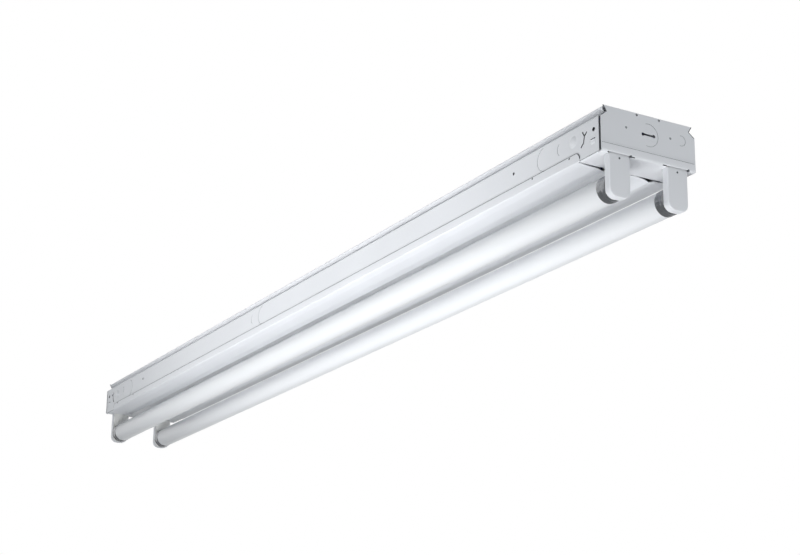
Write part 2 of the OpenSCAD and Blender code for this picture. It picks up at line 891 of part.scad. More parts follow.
// Line lead from the ballast to the disconnect
function line_lead(s) = let (x = case_l / 2 + line_reach, z = line_pair_rise - exit_drop)
    [[exit_x, s * line_pair_y, z], [x, s * line_pair_y, z], [x + line_slope_l, s * line_y, plug_z],
    [plug_x + plug_grip, s * line_y, plug_z]];

module lead_blue_1() color("royalblue") lead(lamp_lead(-1), [0, 1, 0]);
module lead_blue_2() color("royalblue") lead(lamp_lead(1), [0, 1, 0]);
module lead_red_1() color("firebrick") mirror([1, 0, 0]) lead(lamp_lead(-1), [0, 1, 0]);

module lead_red_2() {
    inner_y = lamp_y - terminal_y;
    color("firebrick")
        lead([[-lead_x, -inner_y, terminal_z], [-lead_x, -inner_y, lane_z], [-lead_x, inner_y, lane_z],
            [-lead_x, inner_y, terminal_z]], [1, 0, 0]);
}

module lead_black() color("dimgray") lead(line_lead(-1), [0, 1, 0]);
module lead_white() color("white") lead(line_lead(1), [0, 1, 0]);

// Push-in disconnect: the ballast half and the supply half
module plug_half(holes_d) {
    difference() {
        span([0, -plug_size[1] / 2, -plug_size[2] / 2],
            [plug_size[0], plug_size[1] / 2, plug_size[2] / 2]);
        for (y = [-line_y, line_y])
            translate([0, y, 0])
                rod_x(-over, plug_hole_l + over, holes_d);
    }
}

module disconnect_plug() {
    color("orange")
        translate([plug_x, 0, plug_z])
            plug_half(lead_d + 2 * seat_gap);
}

module disconnect_socket() {
    color("orange")
        translate([plug_x + 2 * plug_size[0], 0, plug_z])
            mirror([1, 0, 0])
                plug_half(lead_d + 2 * seat_gap);
}

// Nylon saddles that hold the lamp leads under the channel
module lead_clips() {
    low = lane_z - lead_r - clip_wall;
    color("ivory")
        for (x = concat(clip_xs, -clip_xs), side = [-1, 1])
            if (x > 0 || side < 0)
                difference() {
                    span([x - clip_size[0] / 2, side * lane_y - clip_size[1] / 2, low],
                        [x + clip_size[0] / 2, side * lane_y + clip_size[1] / 2, -sheet_t]);
                    translate([x, side * lane_y, lane_z])
                        rod_x(-clip_size[0], 2 * clip_size[0], lead_d + 2 * run_gap);
                }
}

housing_channel();
end_plate_a();
end_plate_b();
channel_cover();
end_saddle_a();
end_saddle_b();
socket_shield_a1();
socket_shield_a2();
socket_shield_b1();
socket_shield_b2();
lampholder_a1();
lampholder_a2();
lampholder_b1();
lampholder_b2();
rotor_a1();
rotor_a2();
rotor_b1();
rotor_b2();
contacts_a1();
contacts_a2();
contacts_b1();
contacts_b2();
lamp_tube_1();
lamp_tube_2();
lamp_cap_a1();
lamp_cap_a2();
lamp_cap_b1();
lamp_cap_b2();
cap_insulator_a1();
cap_insulator_a2();
cap_insulator_b1();
cap_insulator_b2();
lamp_pins_a1();
lamp_pins_a2();
lamp_pins_b1();
lamp_pins_b2();
cathode_a1();
cathode_a2();
cathode_b1();
cathode_b2();
ballast_base();
ballast_case();
ballast_board();
ballast_coils();
ballast_capacitors();
ballast_screws();
ground_screw();
lead_black();
lead_white();
lead_blue_1();
lead_blue_2();
lead_red_1();
lead_red_2();
disconnect_plug();
disconnect_socket();
lead_clips();
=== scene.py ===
import math

import bmesh
import bpy
from bpy.props import FloatProperty, FloatVectorProperty, IntProperty, PointerProperty, StringProperty
from mathutils import Matrix, Vector


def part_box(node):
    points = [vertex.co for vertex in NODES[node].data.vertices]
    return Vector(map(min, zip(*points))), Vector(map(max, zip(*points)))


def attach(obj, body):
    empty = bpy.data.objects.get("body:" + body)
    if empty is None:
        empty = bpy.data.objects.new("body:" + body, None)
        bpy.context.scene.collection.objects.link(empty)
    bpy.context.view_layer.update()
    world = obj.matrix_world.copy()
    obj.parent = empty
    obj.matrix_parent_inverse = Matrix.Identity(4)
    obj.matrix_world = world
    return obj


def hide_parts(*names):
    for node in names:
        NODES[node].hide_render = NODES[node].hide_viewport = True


bl_info = {
    "name": "Fluorescent batten light",
    "version": (1, 0, 0),
    "blender": (4, 5, 0),
    "location": "View3D > Sidebar > Batten",
    "description": "Dresses a two-lamp ceiling batten in enamelled sheet steel with bare fluorescent lamps",
    "category": "Object",
}

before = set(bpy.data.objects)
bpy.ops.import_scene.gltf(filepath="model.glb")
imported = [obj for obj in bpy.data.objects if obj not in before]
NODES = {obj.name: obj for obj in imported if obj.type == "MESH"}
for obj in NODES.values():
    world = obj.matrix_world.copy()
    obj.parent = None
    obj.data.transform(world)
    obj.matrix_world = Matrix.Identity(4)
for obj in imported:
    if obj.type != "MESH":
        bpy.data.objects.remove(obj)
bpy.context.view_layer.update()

# Ends and lamps of the fixture: sign of X for an end, sign of Y for a lamp
ENDS = {"a": 1, "b": -1}
LAMPS = {"1": -1, "2": 1}
PLACES = [(end, lamp) for end in ENDS for lamp in LAMPS]
SIDES = (-1, 1)

# Places of the solids in metres, to a micrometre. All lengths below are in metres too, unless a comment
# says otherwise
PLATE_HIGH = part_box("end_plate_a")[1]
SADDLE_LOW, SADDLE_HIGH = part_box("end_saddle_a")
TUBE_LOW, TUBE_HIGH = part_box("lamp_tube_2")
HALF_L = round(SADDLE_HIGH.x, 6)
SADDLE_Z = round(SADDLE_LOW.z, 6)
PLATE_X = round(PLATE_HIGH.x, 6)
WALL_Y = round(PLATE_HIGH.y, 6)
LAMP_Y = round((TUBE_LOW.y + TUBE_HIGH.y) / 2, 6)
LAMP_Z = round((TUBE_LOW.z + TUBE_HIGH.z) / 2, 6)

# Places of a sheet's three materials: enamelled skin, dark sheared edge that also paints shade, and grey
# painted shade in scored lines
SKIN, EDGE_AND_SHADE, RECESS_SHADE = range(3)

# Metals: darker tone, lighter tone, roughness and the pitch of their fine lines
METALS = {
    # Lamp caps, drawn from strip
    "drawn_aluminium": ("#8B8D90", "#97999C", 0.24, 0.0006),
    # Contact pins
    "drawn_brass": ("#B8924E", "#C8A45E", 0.25, 0.0004),
    # Support wires and filaments
    "drawn_nickel": ("#8E8C88", "#A6A39D", 0.35, 0.0004),
    # Leaves of the lampholders
    "rolled_phosphor_bronze": ("#B07A48", "#C08A55", 0.3, 0.0005),
    # Ground screw
    "green_dyed_steel": ("#1C6B34", "#22793C", 0.35, 0.0004),
    # Sheets of the coils' cores, stacked
    "stacked_core_steel": ("#3B3C3F", "#4A4B4E", 0.5, 0.0005),
}

# Plastics and board: darker tone, lighter tone and roughness
PLASTICS = {
    # Lampholders and rotors
    "moulded_white_urea": ("#EDEDEA", "#F2F2EF", 0.32),
    # Discs in the caps' faces
    "pressed_fibre_board": ("#2E2823", "#3A332C", 0.7),
    # Sleeves of the capacitors
    "shrunk_polyester_sleeve": ("#1D2B55", "#243566", 0.3),
    # Halves of the line disconnect
    "moulded_orange_polycarbonate": ("#E0701A", "#EA7C24", 0.25),
    # Clips of the leads
    "moulded_nylon": ("#DAD6C8", "#E2DFD2", 0.5),
    # Insulation of the leads
    "black_extruded_pvc": ("#141414", "#1C1C1C", 0.45),
    "white_extruded_pvc": ("#E4E4DF", "#ECECE8", 0.45),
    "blue_extruded_pvc": ("#12328F", "#173C9E", 0.45),
    "red_extruded_pvc": ("#A01414", "#B01A1A", 0.45),
}


# Colours and shader trees
def linear(text):
    """An sRGB hex colour as linear red, green, blue and alpha."""
    shares = [int(text[i:i + 2], 16) / 255 for i in (1, 3, 5)]
    return [s / 12.92 if s <= 0.04045 else ((s + 0.055) / 1.055) ** 2.4 for s in shares] + [1.0]


def add(tree, kind, settings=None, values=None, links=None):
    """A node with its settings, socket values and links. A link comes from a socket, from a node's first
    output or from each of a list of them."""
    node = tree.nodes.new(kind)
    for name, value in (settings or {}).items():
        setattr(node, name, value)
    for socket, value in (values or {}).items():
        node.inputs[socket].default_value = value
    for socket, sources in (links or {}).items():
        for source in sources if isinstance(sources, list) else [sources]:
            tree.links.new(getattr(source, "outputs", [source])[0], node.inputs[socket])
    return node


def any_ray(tree, sight, first, *others):
    """An output that is one where a ray is of any of the kinds, else zero."""
    found = sight.outputs[first]
    for kind in others:
        found = add(tree, "ShaderNodeMath", {"operation": "MAXIMUM"}, None,
                    {0: found, 1: sight.outputs[kind]})
    return found


def blank_material(name):
    """A material whose tree is empty, and that tree."""
    made = bpy.data.materials.new(name)
    made.use_nodes = True
    made.node_tree.nodes.clear()
    return made, made.node_tree


def close_material(tree, colour, values, links=None):
    """Ends a material's tree with a principled surface of that colour."""
    shader = add(tree, "ShaderNodeBsdfPrincipled", values=values,
                 links={"Base Color": colour.outputs["Color"], **(links or {})})
    add(tree, "ShaderNodeOutputMaterial", links={"Surface": shader})


def patterned(tree, kind, output, low, high, settings=None, values=None, stretch=None, stops=(0, 1)):
    """A texture in object coordinates, and the ramp that turns it into a colour between two hex colours."""
    place = add(tree, "ShaderNodeTexCoord").outputs["Object"]
    if stretch:
        place = add(tree, "ShaderNodeMapping", values={"Scale": stretch}, links={"Vector": place})
    texture = add(tree, kind, settings, values, {"Vector": place})
    ramp = add(tree, "ShaderNodeValToRGB", links={"Fac": texture.outputs[output]})
    for element, stop, tone in zip(ramp.color_ramp.elements, stops, (low, high)):
        element.position = stop
        element.color = linear(tone)
    return texture, ramp


def spotted(tree, size, detail, low, high):
    """Noise whose patches measure size, as a colour. Its values seldom leave the span of the stops."""
    return patterned(tree, "ShaderNodeTexNoise", "Fac", low, high,
                     values={"Scale": 1 / size, "Detail": detail}, stops=(0.35, 0.65))[1]


def bumped(tree, size, height, strength, stretch=(1, 1, 1)):
    """Bump from noise whose grains are size across and height high."""
    place = add(tree, "ShaderNodeTexCoord")
    turned = add(tree, "ShaderNodeMapping", values={"Scale": stretch},
                 links={"Vector": place.outputs["Object"]})
    noise = add(tree, "ShaderNodeTexNoise", values={"Scale": 1 / size, "Detail": 2.0},
                links={"Vector": turned})
    return add(tree, "ShaderNodeBump", values={"Distance": height, "Strength": strength},
               links={"Height": noise.outputs["Fac"]})


# Materials
def make_white_enamel(name):
    """Polyester enamel baked on cold-rolled steel: semi-gloss, with the faint orange peel of spraying."""
    sizes = bpy.context.scene.batten_finish
    made, tree = blank_material(name)
    colour = spotted(tree, size=0.12, detail=2.0, low=sizes.enamel_low, high=sizes.enamel_high)
    # Orange peel is about 2 mm from crest to crest
    peel = bumped(tree, size=0.002, height=0.00002, strength=0.15)
    close_material(tree, colour, {"Roughness": 0.38, "IOR": 1.5, "Coat Weight": 0.15, "Coat Roughness": 0.2},
                   {"Normal": peel})
    return made


def make_edge_and_shade(name):
    """Dark, matt steel: the bare edge where the enamel draws back from a cut, and painted shade in knockout
    grooves, dimples, reliefs and the lines of shadow at joints.
    """
    made, tree = blank_material(name)
    colour = spotted(tree, size=0.0015, detail=3.0, low="#3A3D41", high="#595D62")
    close_material(tree, colour, {"Metallic": 0.3, "Roughness": 0.62})
    return made


def make_recess_shade(name):
    """Grey enamel: painted shade in the scored lines of knockouts and in small pressed marks, greyer than the
    white round it.
    """
    made, tree = blank_material(name)
    colour = spotted(tree, size=0.002, detail=3.0, low="#8D9296", high="#A3A8AC")
    close_material(tree, colour, {"Roughness": 0.55, "IOR": 1.5})
    return made


def make_phosphor_glass(name):
    """Soda-lime glass drawn to a tube and coated inside with white phosphor: a gloss over a chalky white."""
    made, tree = blank_material(name)
    # Coating runs along the tube while it dries, so its streaks are long and faint: 250 mm by 17 mm
    colour = patterned(tree, "ShaderNodeTexNoise", "Fac", "#D8DADD", "#DEE0E3",
                       values={"Scale": 1.0, "Detail": 3.0}, stretch=(4, 60, 60))[1]
    close_material(tree, colour, {"Roughness": 0.34, "IOR": 1.46, "Coat Weight": 0.2, "Coat Roughness": 0.12})
    return made


def make_zinc_plate(name):
    """Bright zinc plate on steel: cool grey with millimetre spangle and uneven gloss."""
    made, tree = blank_material(name)
    # Spangle flakes are about 3 mm across
    flakes, colour = patterned(tree, "ShaderNodeTexVoronoi", "Color", "#A3A6AA", "#BFC2C5",
                               values={"Scale": 330.0})
    gloss = add(tree, "ShaderNodeMapRange", values={"To Min": 0.28, "To Max": 0.42},
                links={"Value": flakes.outputs["Distance"]})
    close_material(tree, colour, {"Metallic": 1.0}, {"Roughness": gloss})
    return made


def make_copper_winding(name):
    """Enamelled copper wire drawn and wound: darker and lighter bands about 1 mm wide, with fine ribs."""
    made, tree = blank_material(name)
    bands, colour = patterned(tree, "ShaderNodeTexWave", "Fac", "#5A2A12", "#B4673A",
                              {"bands_direction": "X"}, {"Scale": 320.0, "Distortion": 0.4})
    ribs = add(tree, "ShaderNodeBump", values={"Distance": 0.0002, "Strength": 0.8},
               links={"Height": bands.outputs["Fac"]})
    close_material(tree, colour, {"Metallic": 0.7, "Roughness": 0.3}, {"Normal": ribs})
    return made


def make_epoxy_board(name):
    """Glass epoxy laminate under green solder mask: the 1 mm weave shows through."""
    made, tree = blank_material(name)
    place = add(tree, "ShaderNodeTexCoord")
    weave = add(tree, "ShaderNodeTexChecker", links={"Vector": place.outputs["Object"]},
                values={"Scale": 1000.0, "Color1": linear("#3C5A2C"), "Color2": linear("#486A34")})
    close_material(tree, weave, {"Roughness": 0.35, "IOR": 1.55})
    return made


def make_metal(name, low, high, roughness, grain):
    """Drawn or turned metal: fine lines run round the lamp's axis, so they are thin along X."""
    made, tree = blank_material(name)
    colour = spotted(tree, size=0.004, detail=3.0, low=low, high=high)
    lines = bumped(tree, size=grain, height=0.00001, strength=0.3, stretch=(8, 1, 1))
    close_material(tree, colour, {"Metallic": 1.0, "Roughness": roughness}, {"Normal": lines})
    return made


def make_plastic(name, low, high, roughness):
    """Moulded or extruded plastic, or board: even colour, soft gloss and the fine grain of the tool."""
    made, tree = blank_material(name)
    colour = spotted(tree, size=0.02, detail=2.0, low=low, high=high)
    skin = bumped(tree, size=0.0006, height=0.00001, strength=0.25)
    close_material(tree, colour, {"Roughness": roughness, "IOR": 1.5}, {"Normal": skin})
    return made


def make_floor_screed(name):
    """Grey screed that the camera sees as white, with the object's shadow left in it."""
    made, tree = blank_material(name)
    colour = spotted(tree, size=0.5, detail=2.0, low="#868889", high="#8E9091")
    matt = add(tree, "ShaderNodeBsdfDiffuse", links={"Color": colour.outputs["Color"]})
    white = add(tree, "ShaderNodeEmission", values={"Color": linear("#FFFFFF"), "Strength": 1.1})
    # Camera rays see 85 parts of white in 100, mirrored and bent rays 25
    sight = add(tree, "ShaderNodeLightPath")
    mirrored = any_ray(tree, sight, "Is Transmission Ray", "Is Glossy Ray")
    part = add(tree, "ShaderNodeMath", {"operation": "MULTIPLY"}, {1: 0.25}, {0: mirrored})
    share = add(tree, "ShaderNodeMath", {"operation": "MULTIPLY_ADD"}, {1: 0.85},
                {0: sight.outputs["Is Camera Ray"], 2: part})
    shader = add(tree, "ShaderNodeMixShader", links={0: share, 1: matt, 2: white})
    add(tree, "ShaderNodeOutputMaterial", links={"Surface": shader})
    return made


SINGLE_MATERIALS = {
    "white_baked_enamel": make_white_enamel,
    "sheared_steel_edge": make_edge_and_shade,
    "scored_enamel": make_recess_shade,
    "phosphor_coated_glass": make_phosphor_glass,
    "zinc_plated_steel": make_zinc_plate,
    "enamelled_copper_winding": make_copper_winding,
    "glass_epoxy_laminate": make_epoxy_board,
    "floor_screed": make_floor_screed,
}


def material(name):
    """The material of that name, made at its first use."""
    if name in bpy.data.materials:
        return bpy.data.materials[name]
    if name in METALS:
        return make_metal(name, *METALS[name])
    if name in PLASTICS:
        return make_plastic(name, *PLASTICS[name])
    return SINGLE_MATERIALS[name](name)


# Mesh helpers
def new_object(name, mesh):
    made = bpy.data.objects.new(name, mesh)
    bpy.context.scene.collection.objects.link(made)
    return made


def shaded(name, bm, angle=35, is_crisp=None):
    """Turns a bmesh into an object. Edges flatter than the angle, in degrees, and not crisp are smooth."""
    mesh = bpy.data.meshes.new(name)
    limit = math.radians(angle)
    for face in bm.faces:
        face.smooth = True
    for edge in bm.edges:
        bend = edge.calc_face_angle(0) if len(edge.link_faces) == 2 else math.pi
        edge.smooth = bend < limit and not (is_crisp and is_crisp(edge, bend))
    bm.to_mesh(mesh)
    bm.free()
    return new_object(name, mesh)


def from_bmesh(name, bm, angle=35):
    """The object of a bmesh built here, with its faces turned outward."""
    bmesh.ops.recalc_face_normals(bm, faces=bm.faces)
    return shaded(name, bm, angle)


def is_pressed(edge, bend):
    """Whether an edge bounds a pressed form: in the flat of a side wall even a slight bend does."""
    upright, slight, flat_low, flat_high = 0.9999, 0.02, -0.04, -0.012
    beside_flat = any(abs(f.normal.y) > upright for f in edge.link_faces)
    return beside_flat and bend > slight and flat_low < edge.verts[0].co.z < flat_high


def copy_of_node(name, node):
    """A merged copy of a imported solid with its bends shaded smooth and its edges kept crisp."""
    bm = bmesh.new()
    bm.from_mesh(NODES[node].data)
    bmesh.ops.remove_doubles(bm, verts=bm.verts, dist=0.000002)
    return shaded(name, bm, is_crisp=is_pressed)


def join_rings(bm, rings, around):
    """Faces between closed rings of points, where a ring of one point closes an end."""
    for low, high in zip(rings, rings[1:]):
        for k in range(around):
            n = (k + 1) % around
            ring = [low[k % len(low)], low[n % len(low)], high[n % len(high)], high[k % len(high)]]
            face = list(dict.fromkeys(ring))
            if len(face) > 2:
                bm.faces.new(face)


def join_lines(bm, one, other):
    """Faces between two lines of points."""
    return [bm.faces.new((one[k], one[k + 1], other[k + 1], other[k])) for k in range(len(one) - 1)]


def turned_solid(bm, profile, axis_y, sign, segments):
    """Revolves (x, radius) points about a lamp's axis. A zero radius closes the end."""
    rings = []
    for x, r in profile:
        spots = [math.tau * k / segments for k in range(segments if r else 1)]
        rings.append([bm.verts.new((sign * x, axis_y + r * math.cos(t), LAMP_Z + r * math.sin(t)))
                      for t in spots])
    join_rings(bm, rings, segments)


def quarter(cx, cr, r, steps):
    """Points (x, radius) on a quarter arc about (cx, cr), from +x round to +radius."""
    turns = [math.radians(90 * k / steps) for k in range(steps + 1)]
    return [(cx + r * math.cos(t), cr + r * math.sin(t)) for t in turns]


def add_block(bm, low, high):
    """A box between two corners."""
    for vert in bmesh.ops.create_cube(bm, size=1)["verts"]:
        vert.co = [low[i] if vert.co[i] < 0 else high[i] for i in range(3)]


def add_ribbon(bm, one_side, other_side, shift):
    """A closed strip between two lines of points, thickened by a shift."""
    rails = [one_side, other_side, [p + shift for p in other_side], [p + shift for p in one_side]]
    rails = [[bm.verts.new(p) for p in rail] for rail in rails]
    for end in (0, -1):
        bm.faces.new([rail[end] for rail in rails])
    for one, other in zip(rails, rails[1:] + rails[:1]):
        join_lines(bm, one, other)


def add_stud(bm, place, radius, length, index=SKIN):
    """A short round stud along X, centred at a place."""
    turn = Matrix.Translation(place) @ Matrix.Rotation(math.pi / 2, 4, "Y")
    made = bmesh.ops.create_cone(bm, cap_ends=True, segments=20, radius1=radius, radius2=radius, depth=length,
                                 matrix=turn)["verts"]
    for face in {f for v in made for f in v.link_faces}:
        face.material_index = index


def finish_piece(piece, coat, body, slot, *nodes):
    """Gives a piece its first material and its body, and hides the nodes that it stands for. The slot is not
    used.
    """
    if piece.data.materials:
        piece.data.materials[0] = material(coat)
    else:
        piece.data.materials.append(material(coat))
    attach(piece, body)
    if nodes:
        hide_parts(*nodes)


def dress_node(node, coat):
    """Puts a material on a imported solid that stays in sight."""
    mesh = NODES[node].data
    mesh.materials.clear()
    mesh.materials.append(material(coat))


# Geometry Nodes trees
def new_tree(name, numbers, geometry=False):
    """An empty Geometry Nodes tree with named inputs, and the sockets of its input node."""
    tree = bpy.data.node_groups.new(name, "GeometryNodeTree")
    if geometry:
        tree.interface.new_socket("Geometry", in_out="INPUT", socket_type="NodeSocketGeometry")
    for label in numbers:
        tree.interface.new_socket(label, in_out="INPUT", socket_type="NodeSocketFloat")
    for label in ("Place", "Turn"):
        tree.interface.new_socket(label, in_out="INPUT", socket_type="NodeSocketVector")
    tree.interface.new_socket("Material", in_out="INPUT", socket_type="NodeSocketMaterial")
    tree.interface.new_socket("Geometry", in_out="OUTPUT", socket_type="NodeSocketGeometry")
    return tree, tree.nodes.new("NodeGroupInput").outputs


def close_tree(tree, entry, shape):
    """Moves the shape to its place, makes its instances real and gives it its material."""
    moved = add(tree, "GeometryNodeTransform",
                links={"Geometry": shape, "Translation": entry["Place"], "Rotation": entry["Turn"]})
    real = add(tree, "GeometryNodeRealizeInstances", links={"Geometry": moved})
    dressed = add(tree, "GeometryNodeSetMaterial", links={"Geometry": real, "Material": entry["Material"]})
    add(tree, "NodeGroupOutput", links={0: dressed})
    return tree


def add_pipe(tree, curve, diameter, segments, radius_share=0.5, capped=True):
    """A round pipe along a curve, whose radius is a share of the diameter."""
    radius = add(tree, "ShaderNodeMath", {"operation": "MULTIPLY"}, {1: radius_share}, {0: diameter})
    ring = add(tree, "GeometryNodeCurvePrimitiveCircle", values={"Resolution": segments},
               links={"Radius": radius})
    return add(tree, "GeometryNodeCurveToMesh", values={"Fill Caps": capped},
               links={"Curve": curve, "Profile Curve": ring})


def add_rod(tree, length, diameter, tip_from, tip_share):
    """A rod along X from the origin, which narrows to a share of its radius from a share of its length on."""
    end = add(tree, "ShaderNodeCombineXYZ", links={"X": length})
    line = add(tree, "GeometryNodeCurvePrimitiveLine", links={"End": end})
    rings = add(tree, "GeometryNodeResampleCurve", values={"Count": 33}, links={"Curve": line})
    along = add(tree, "GeometryNodeSplineParameter")
    taper = add(tree, "ShaderNodeMapRange", {"interpolation_type": "SMOOTHSTEP"},
                {"From Min": tip_from, "From Max": 1.0, "To Min": 1.0, "To Max": tip_share},
                {"Value": along.outputs["Factor"]})
    shaped = add(tree, "GeometryNodeSetCurveRadius", links={"Curve": rings, "Radius": taper})
    return add_pipe(tree, shaped, diameter, segments=28)


def add_pair(tree, part, pitch):
    """Two copies of a part side by side along Y, centred on the origin."""
    step = add(tree, "ShaderNodeCombineXYZ", links={"Y": pitch})
    back = add(tree, "ShaderNodeVectorMath", {"operation": "SCALE"}, {"Scale": -0.5}, {0: step})
    spots = add(tree, "GeometryNodeMeshLine", values={"Count": 2},
                links={"Start Location": back, "Offset": step})
    return add(tree, "GeometryNodeInstanceOnPoints", links={"Points": spots, "Instance": part})


def add_line(tree, part, count, spacing, turn=(0, 0, 0)):
    """Copies of a part in a line along X, centred on the origin."""
    less = add(tree, "ShaderNodeMath", {"operation": "SUBTRACT"}, {1: 1.0}, {0: count})
    span = add(tree, "ShaderNodeMath", {"operation": "MULTIPLY"}, None, {0: less, 1: spacing})
    back = add(tree, "ShaderNodeMath", {"operation": "MULTIPLY"}, {1: -0.5}, {0: span})
    start = add(tree, "ShaderNodeCombineXYZ", links={"X": back})
    step = add(tree, "ShaderNodeCombineXYZ", links={"X": spacing})
    spots = add(tree, "GeometryNodeMeshLine", links={"Count": count, "Start Location": start, "Offset": step})
    return add(tree, "GeometryNodeInstanceOnPoints", values={"Rotation": turn},
               links={"Points": spots, "Instance": part})


def pins_tree(name):
    """Two round-ended contact pins side by side."""
    tree, entry = new_tree(name, ("Length", "Diameter", "Pitch"))
    pin = add_rod(tree, entry["Length"], entry["Diameter"], tip_from=0.86, tip_share=0.45)
    return close_tree(tree, entry, add_pair(tree, pin, entry["Pitch"]))


def cathode_tree(name):
    """Flared glass stem, two support wires and the coiled filament between their ends."""
    tree, entry = new_tree(name, ("Stem length", "Stem diameter", "Reach", "Wire", "Turns", "Coil"))
    stem = add_rod(tree, entry["Stem length"], entry["Stem diameter"], tip_from=0.0, tip_share=0.6)
    reach = add(tree, "ShaderNodeMath", {"operation": "ADD"}, None,
                {0: entry["Reach"], 1: entry["Stem length"]})
    wire = add_rod(tree, reach, entry["Wire"], tip_from=0.97, tip_share=0.6)
    # The wires stand half the stem's diameter apart, and the filament is as long as the stem is wide
    pitch = add(tree, "ShaderNodeMath", {"operation": "MULTIPLY"}, {1: 0.5}, {0: entry["Stem diameter"]})
    wires = add_pair(tree, wire, pitch)
    coil_r = add(tree, "ShaderNodeMath", {"operation": "MULTIPLY"}, {1: 0.5}, {0: entry["Coil"]})
    helix = add(tree, "GeometryNodeCurveSpiral", values={"Resolution": 12},
                links={"Rotations": entry["Turns"], "Start Radius": coil_r,
                       "End Radius": coil_r, "Height": entry["Stem diameter"]})
    coil = add_pipe(tree, helix, entry["Wire"], segments=6, radius_share=0.15)
    side = add(tree, "ShaderNodeMath", {"operation": "MULTIPLY"}, {1: -0.5}, {0: entry["Stem diameter"]})
    spot = add(tree, "ShaderNodeCombineXYZ", links={"X": reach, "Y": side})
    laid = add(tree, "GeometryNodeTransform", values={"Rotation": (-math.pi / 2, 0, 0)},
               links={"Geometry": coil, "Translation": spot})
    return close_tree(tree, entry, add(tree, "GeometryNodeJoinGeometry", links={0: [stem, wires, laid]}))


def screw_tree(name):
    """Pan-head screws with a cross recess in a line along X, heads down, with their seats at the place."""
    tree, entry = new_tree(name, ("Head", "Height", "Shank", "Grip", "Count", "Spacing"))
    head = add_rod(tree, entry["Height"], entry["Head"], tip_from=0.25, tip_share=0.6)
    back = add(tree, "ShaderNodeMath", {"operation": "MULTIPLY"}, {1: -1.0}, {0: entry["Grip"]})
    shank = add_rod(tree, back, entry["Shank"], tip_from=0.9, tip_share=0.9)
    # The recess is two crossed wings, given as shares of the head's diameter
    long = add(tree, "ShaderNodeMath", {"operation": "MULTIPLY"}, {1: 0.55}, {0: entry["Head"]})
    thin = add(tree, "ShaderNodeMath", {"operation": "MULTIPLY"}, {1: 0.13}, {0: entry["Head"]})
    face = add(tree, "ShaderNodeCombineXYZ", links={"X": entry["Height"]})
    wings = []
    for across, along in (("Y", "Z"), ("Z", "Y")):
        size = add(tree, "ShaderNodeCombineXYZ", links={"X": entry["Height"], across: long, along: thin})
        wing = add(tree, "GeometryNodeMeshCube", links={"Size": size})
        wings.append(add(tree, "GeometryNodeTransform", links={"Geometry": wing, "Translation": face}))
    cut = add(tree, "GeometryNodeMeshBoolean", {"operation": "DIFFERENCE", "solver": "EXACT"}, None,
              {"Mesh 1": head, "Mesh 2": wings})
    screw = add(tree, "GeometryNodeJoinGeometry", links={0: [cut, shank]})
    return close_tree(tree, entry, add_line(tree, screw, entry["Count"], entry["Spacing"],
                                            turn=(0, math.pi / 2, 0)))


def winding_tree(name):
    """Coils in a line along X, each of turns of round wire laid side by side on a rectangular former."""
    tree, entry = new_tree(name, ("Width", "Height", "Wire", "Turns", "Count", "Spacing"))
    former = add(tree, "GeometryNodeCurvePrimitiveQuadrilateral",
                 links={"Width": entry["Height"], "Height": entry["Width"]})
    bend = add(tree, "ShaderNodeMath", {"operation": "MULTIPLY"}, {1: 0.12}, {0: entry["Width"]})
    rounded = add(tree, "GeometryNodeFilletCurve", {"mode": "POLY"}, {"Count": 5},
                  {"Curve": former, "Radius": bend})
    # A little under half the pitch, so that neighbouring turns share no point
    turn = add_pipe(tree, rounded, entry["Wire"], segments=8, radius_share=0.49, capped=False)
    coil = add_line(tree, turn, entry["Turns"], entry["Wire"], turn=(0, math.pi / 2, 0))
    return close_tree(tree, entry, add_line(tree, coil, entry["Count"], entry["Spacing"]))


def lead_tree(name):
    """Round insulated lead along a line of points, with its corners bent over a radius."""
    tree, entry = new_tree(name, ("Diameter", "Bend"), geometry=True)
    line = add(tree, "GeometryNodeMeshToCurve", links={"Mesh": entry["Geometry"]})
    bent = add(tree, "GeometryNodeFilletCurve", {"mode": "POLY"}, {"Count": 8, "Limit Radius": True},
               {"Curve": line, "Radius": entry["Bend"]})
    return close_tree(tree, entry, add_pipe(tree, bent, entry["Diameter"], segments=20))


TREES = {"contact_pins": pins_tree, "coiled_cathode": cathode_tree, "pan_head_screws": screw_tree,
         "wound_coils": winding_tree, "round_lead": lead_tree}


def bake_piece(name, node, tree_name, inputs, coat, body, slot, place=(0, 0, 0), turn=0, source=None):
    """Runs a Geometry Nodes tree, turned about Z and set at a place, and finishes its mesh as a piece."""
    tree = bpy.data.node_groups.get(tree_name) or TREES[tree_name](tree_name)
    values = {**inputs, "Place": place, "Turn": (0, 0, turn), "Material": material(coat)}
    carrier = new_object(name, source or bpy.data.meshes.new("seed"))
    modifier = carrier.modifiers.new("nodes", "NODES")
    modifier.node_group = tree
    for item in tree.interface.items_tree:
        if item.in_out == "INPUT" and item.name in values:
            modifier[item.identifier] = values[item.name]
    graph = bpy.context.evaluated_depsgraph_get()
    mesh = bpy.data.meshes.new_from_object(carrier.evaluated_get(graph), preserve_all_data_layers=True,
                                           depsgraph=graph)
    seed = carrier.data
    bpy.data.objects.remove(carrier)
    bpy.data.meshes.remove(seed)
    mesh.name = name
    if mesh.materials[0] is None:
        mesh.materials.pop(index=0)
    mesh.polygons.foreach_set("use_smooth", [True] * len(mesh.polygons))
    mesh.set_sharp_from_angle(angle=math.radians(35))
    finish_piece(new_object(name, mesh), coat, body, slot, node)


# Routes of the leads, in millimetres: from the ballast to the disconnect, from the ballast along a wall and
# down to a lampholder, and between the two lampholders of the far end
LINE_ROUTE = ((103.5, 1.3, -12.7), (135.5, 1.3, -12.7), (147.5, 3.6, -5), (173, 3.6, -5))
LAMP_ROUTE = ((103.5, 2.6, -15), (125.5, 2.6, -15), (125.5, 38, -15), (125.5, 38, -2.85),
              (603.75, 38, -2.85), (603.75, 38, -42.7))
JUMPER_ROUTE = ((-603.75, -28, -42.7), (-603.75, -28, -2.85), (-603.75, 28, -2.85), (-603.75, 28, -42.7))

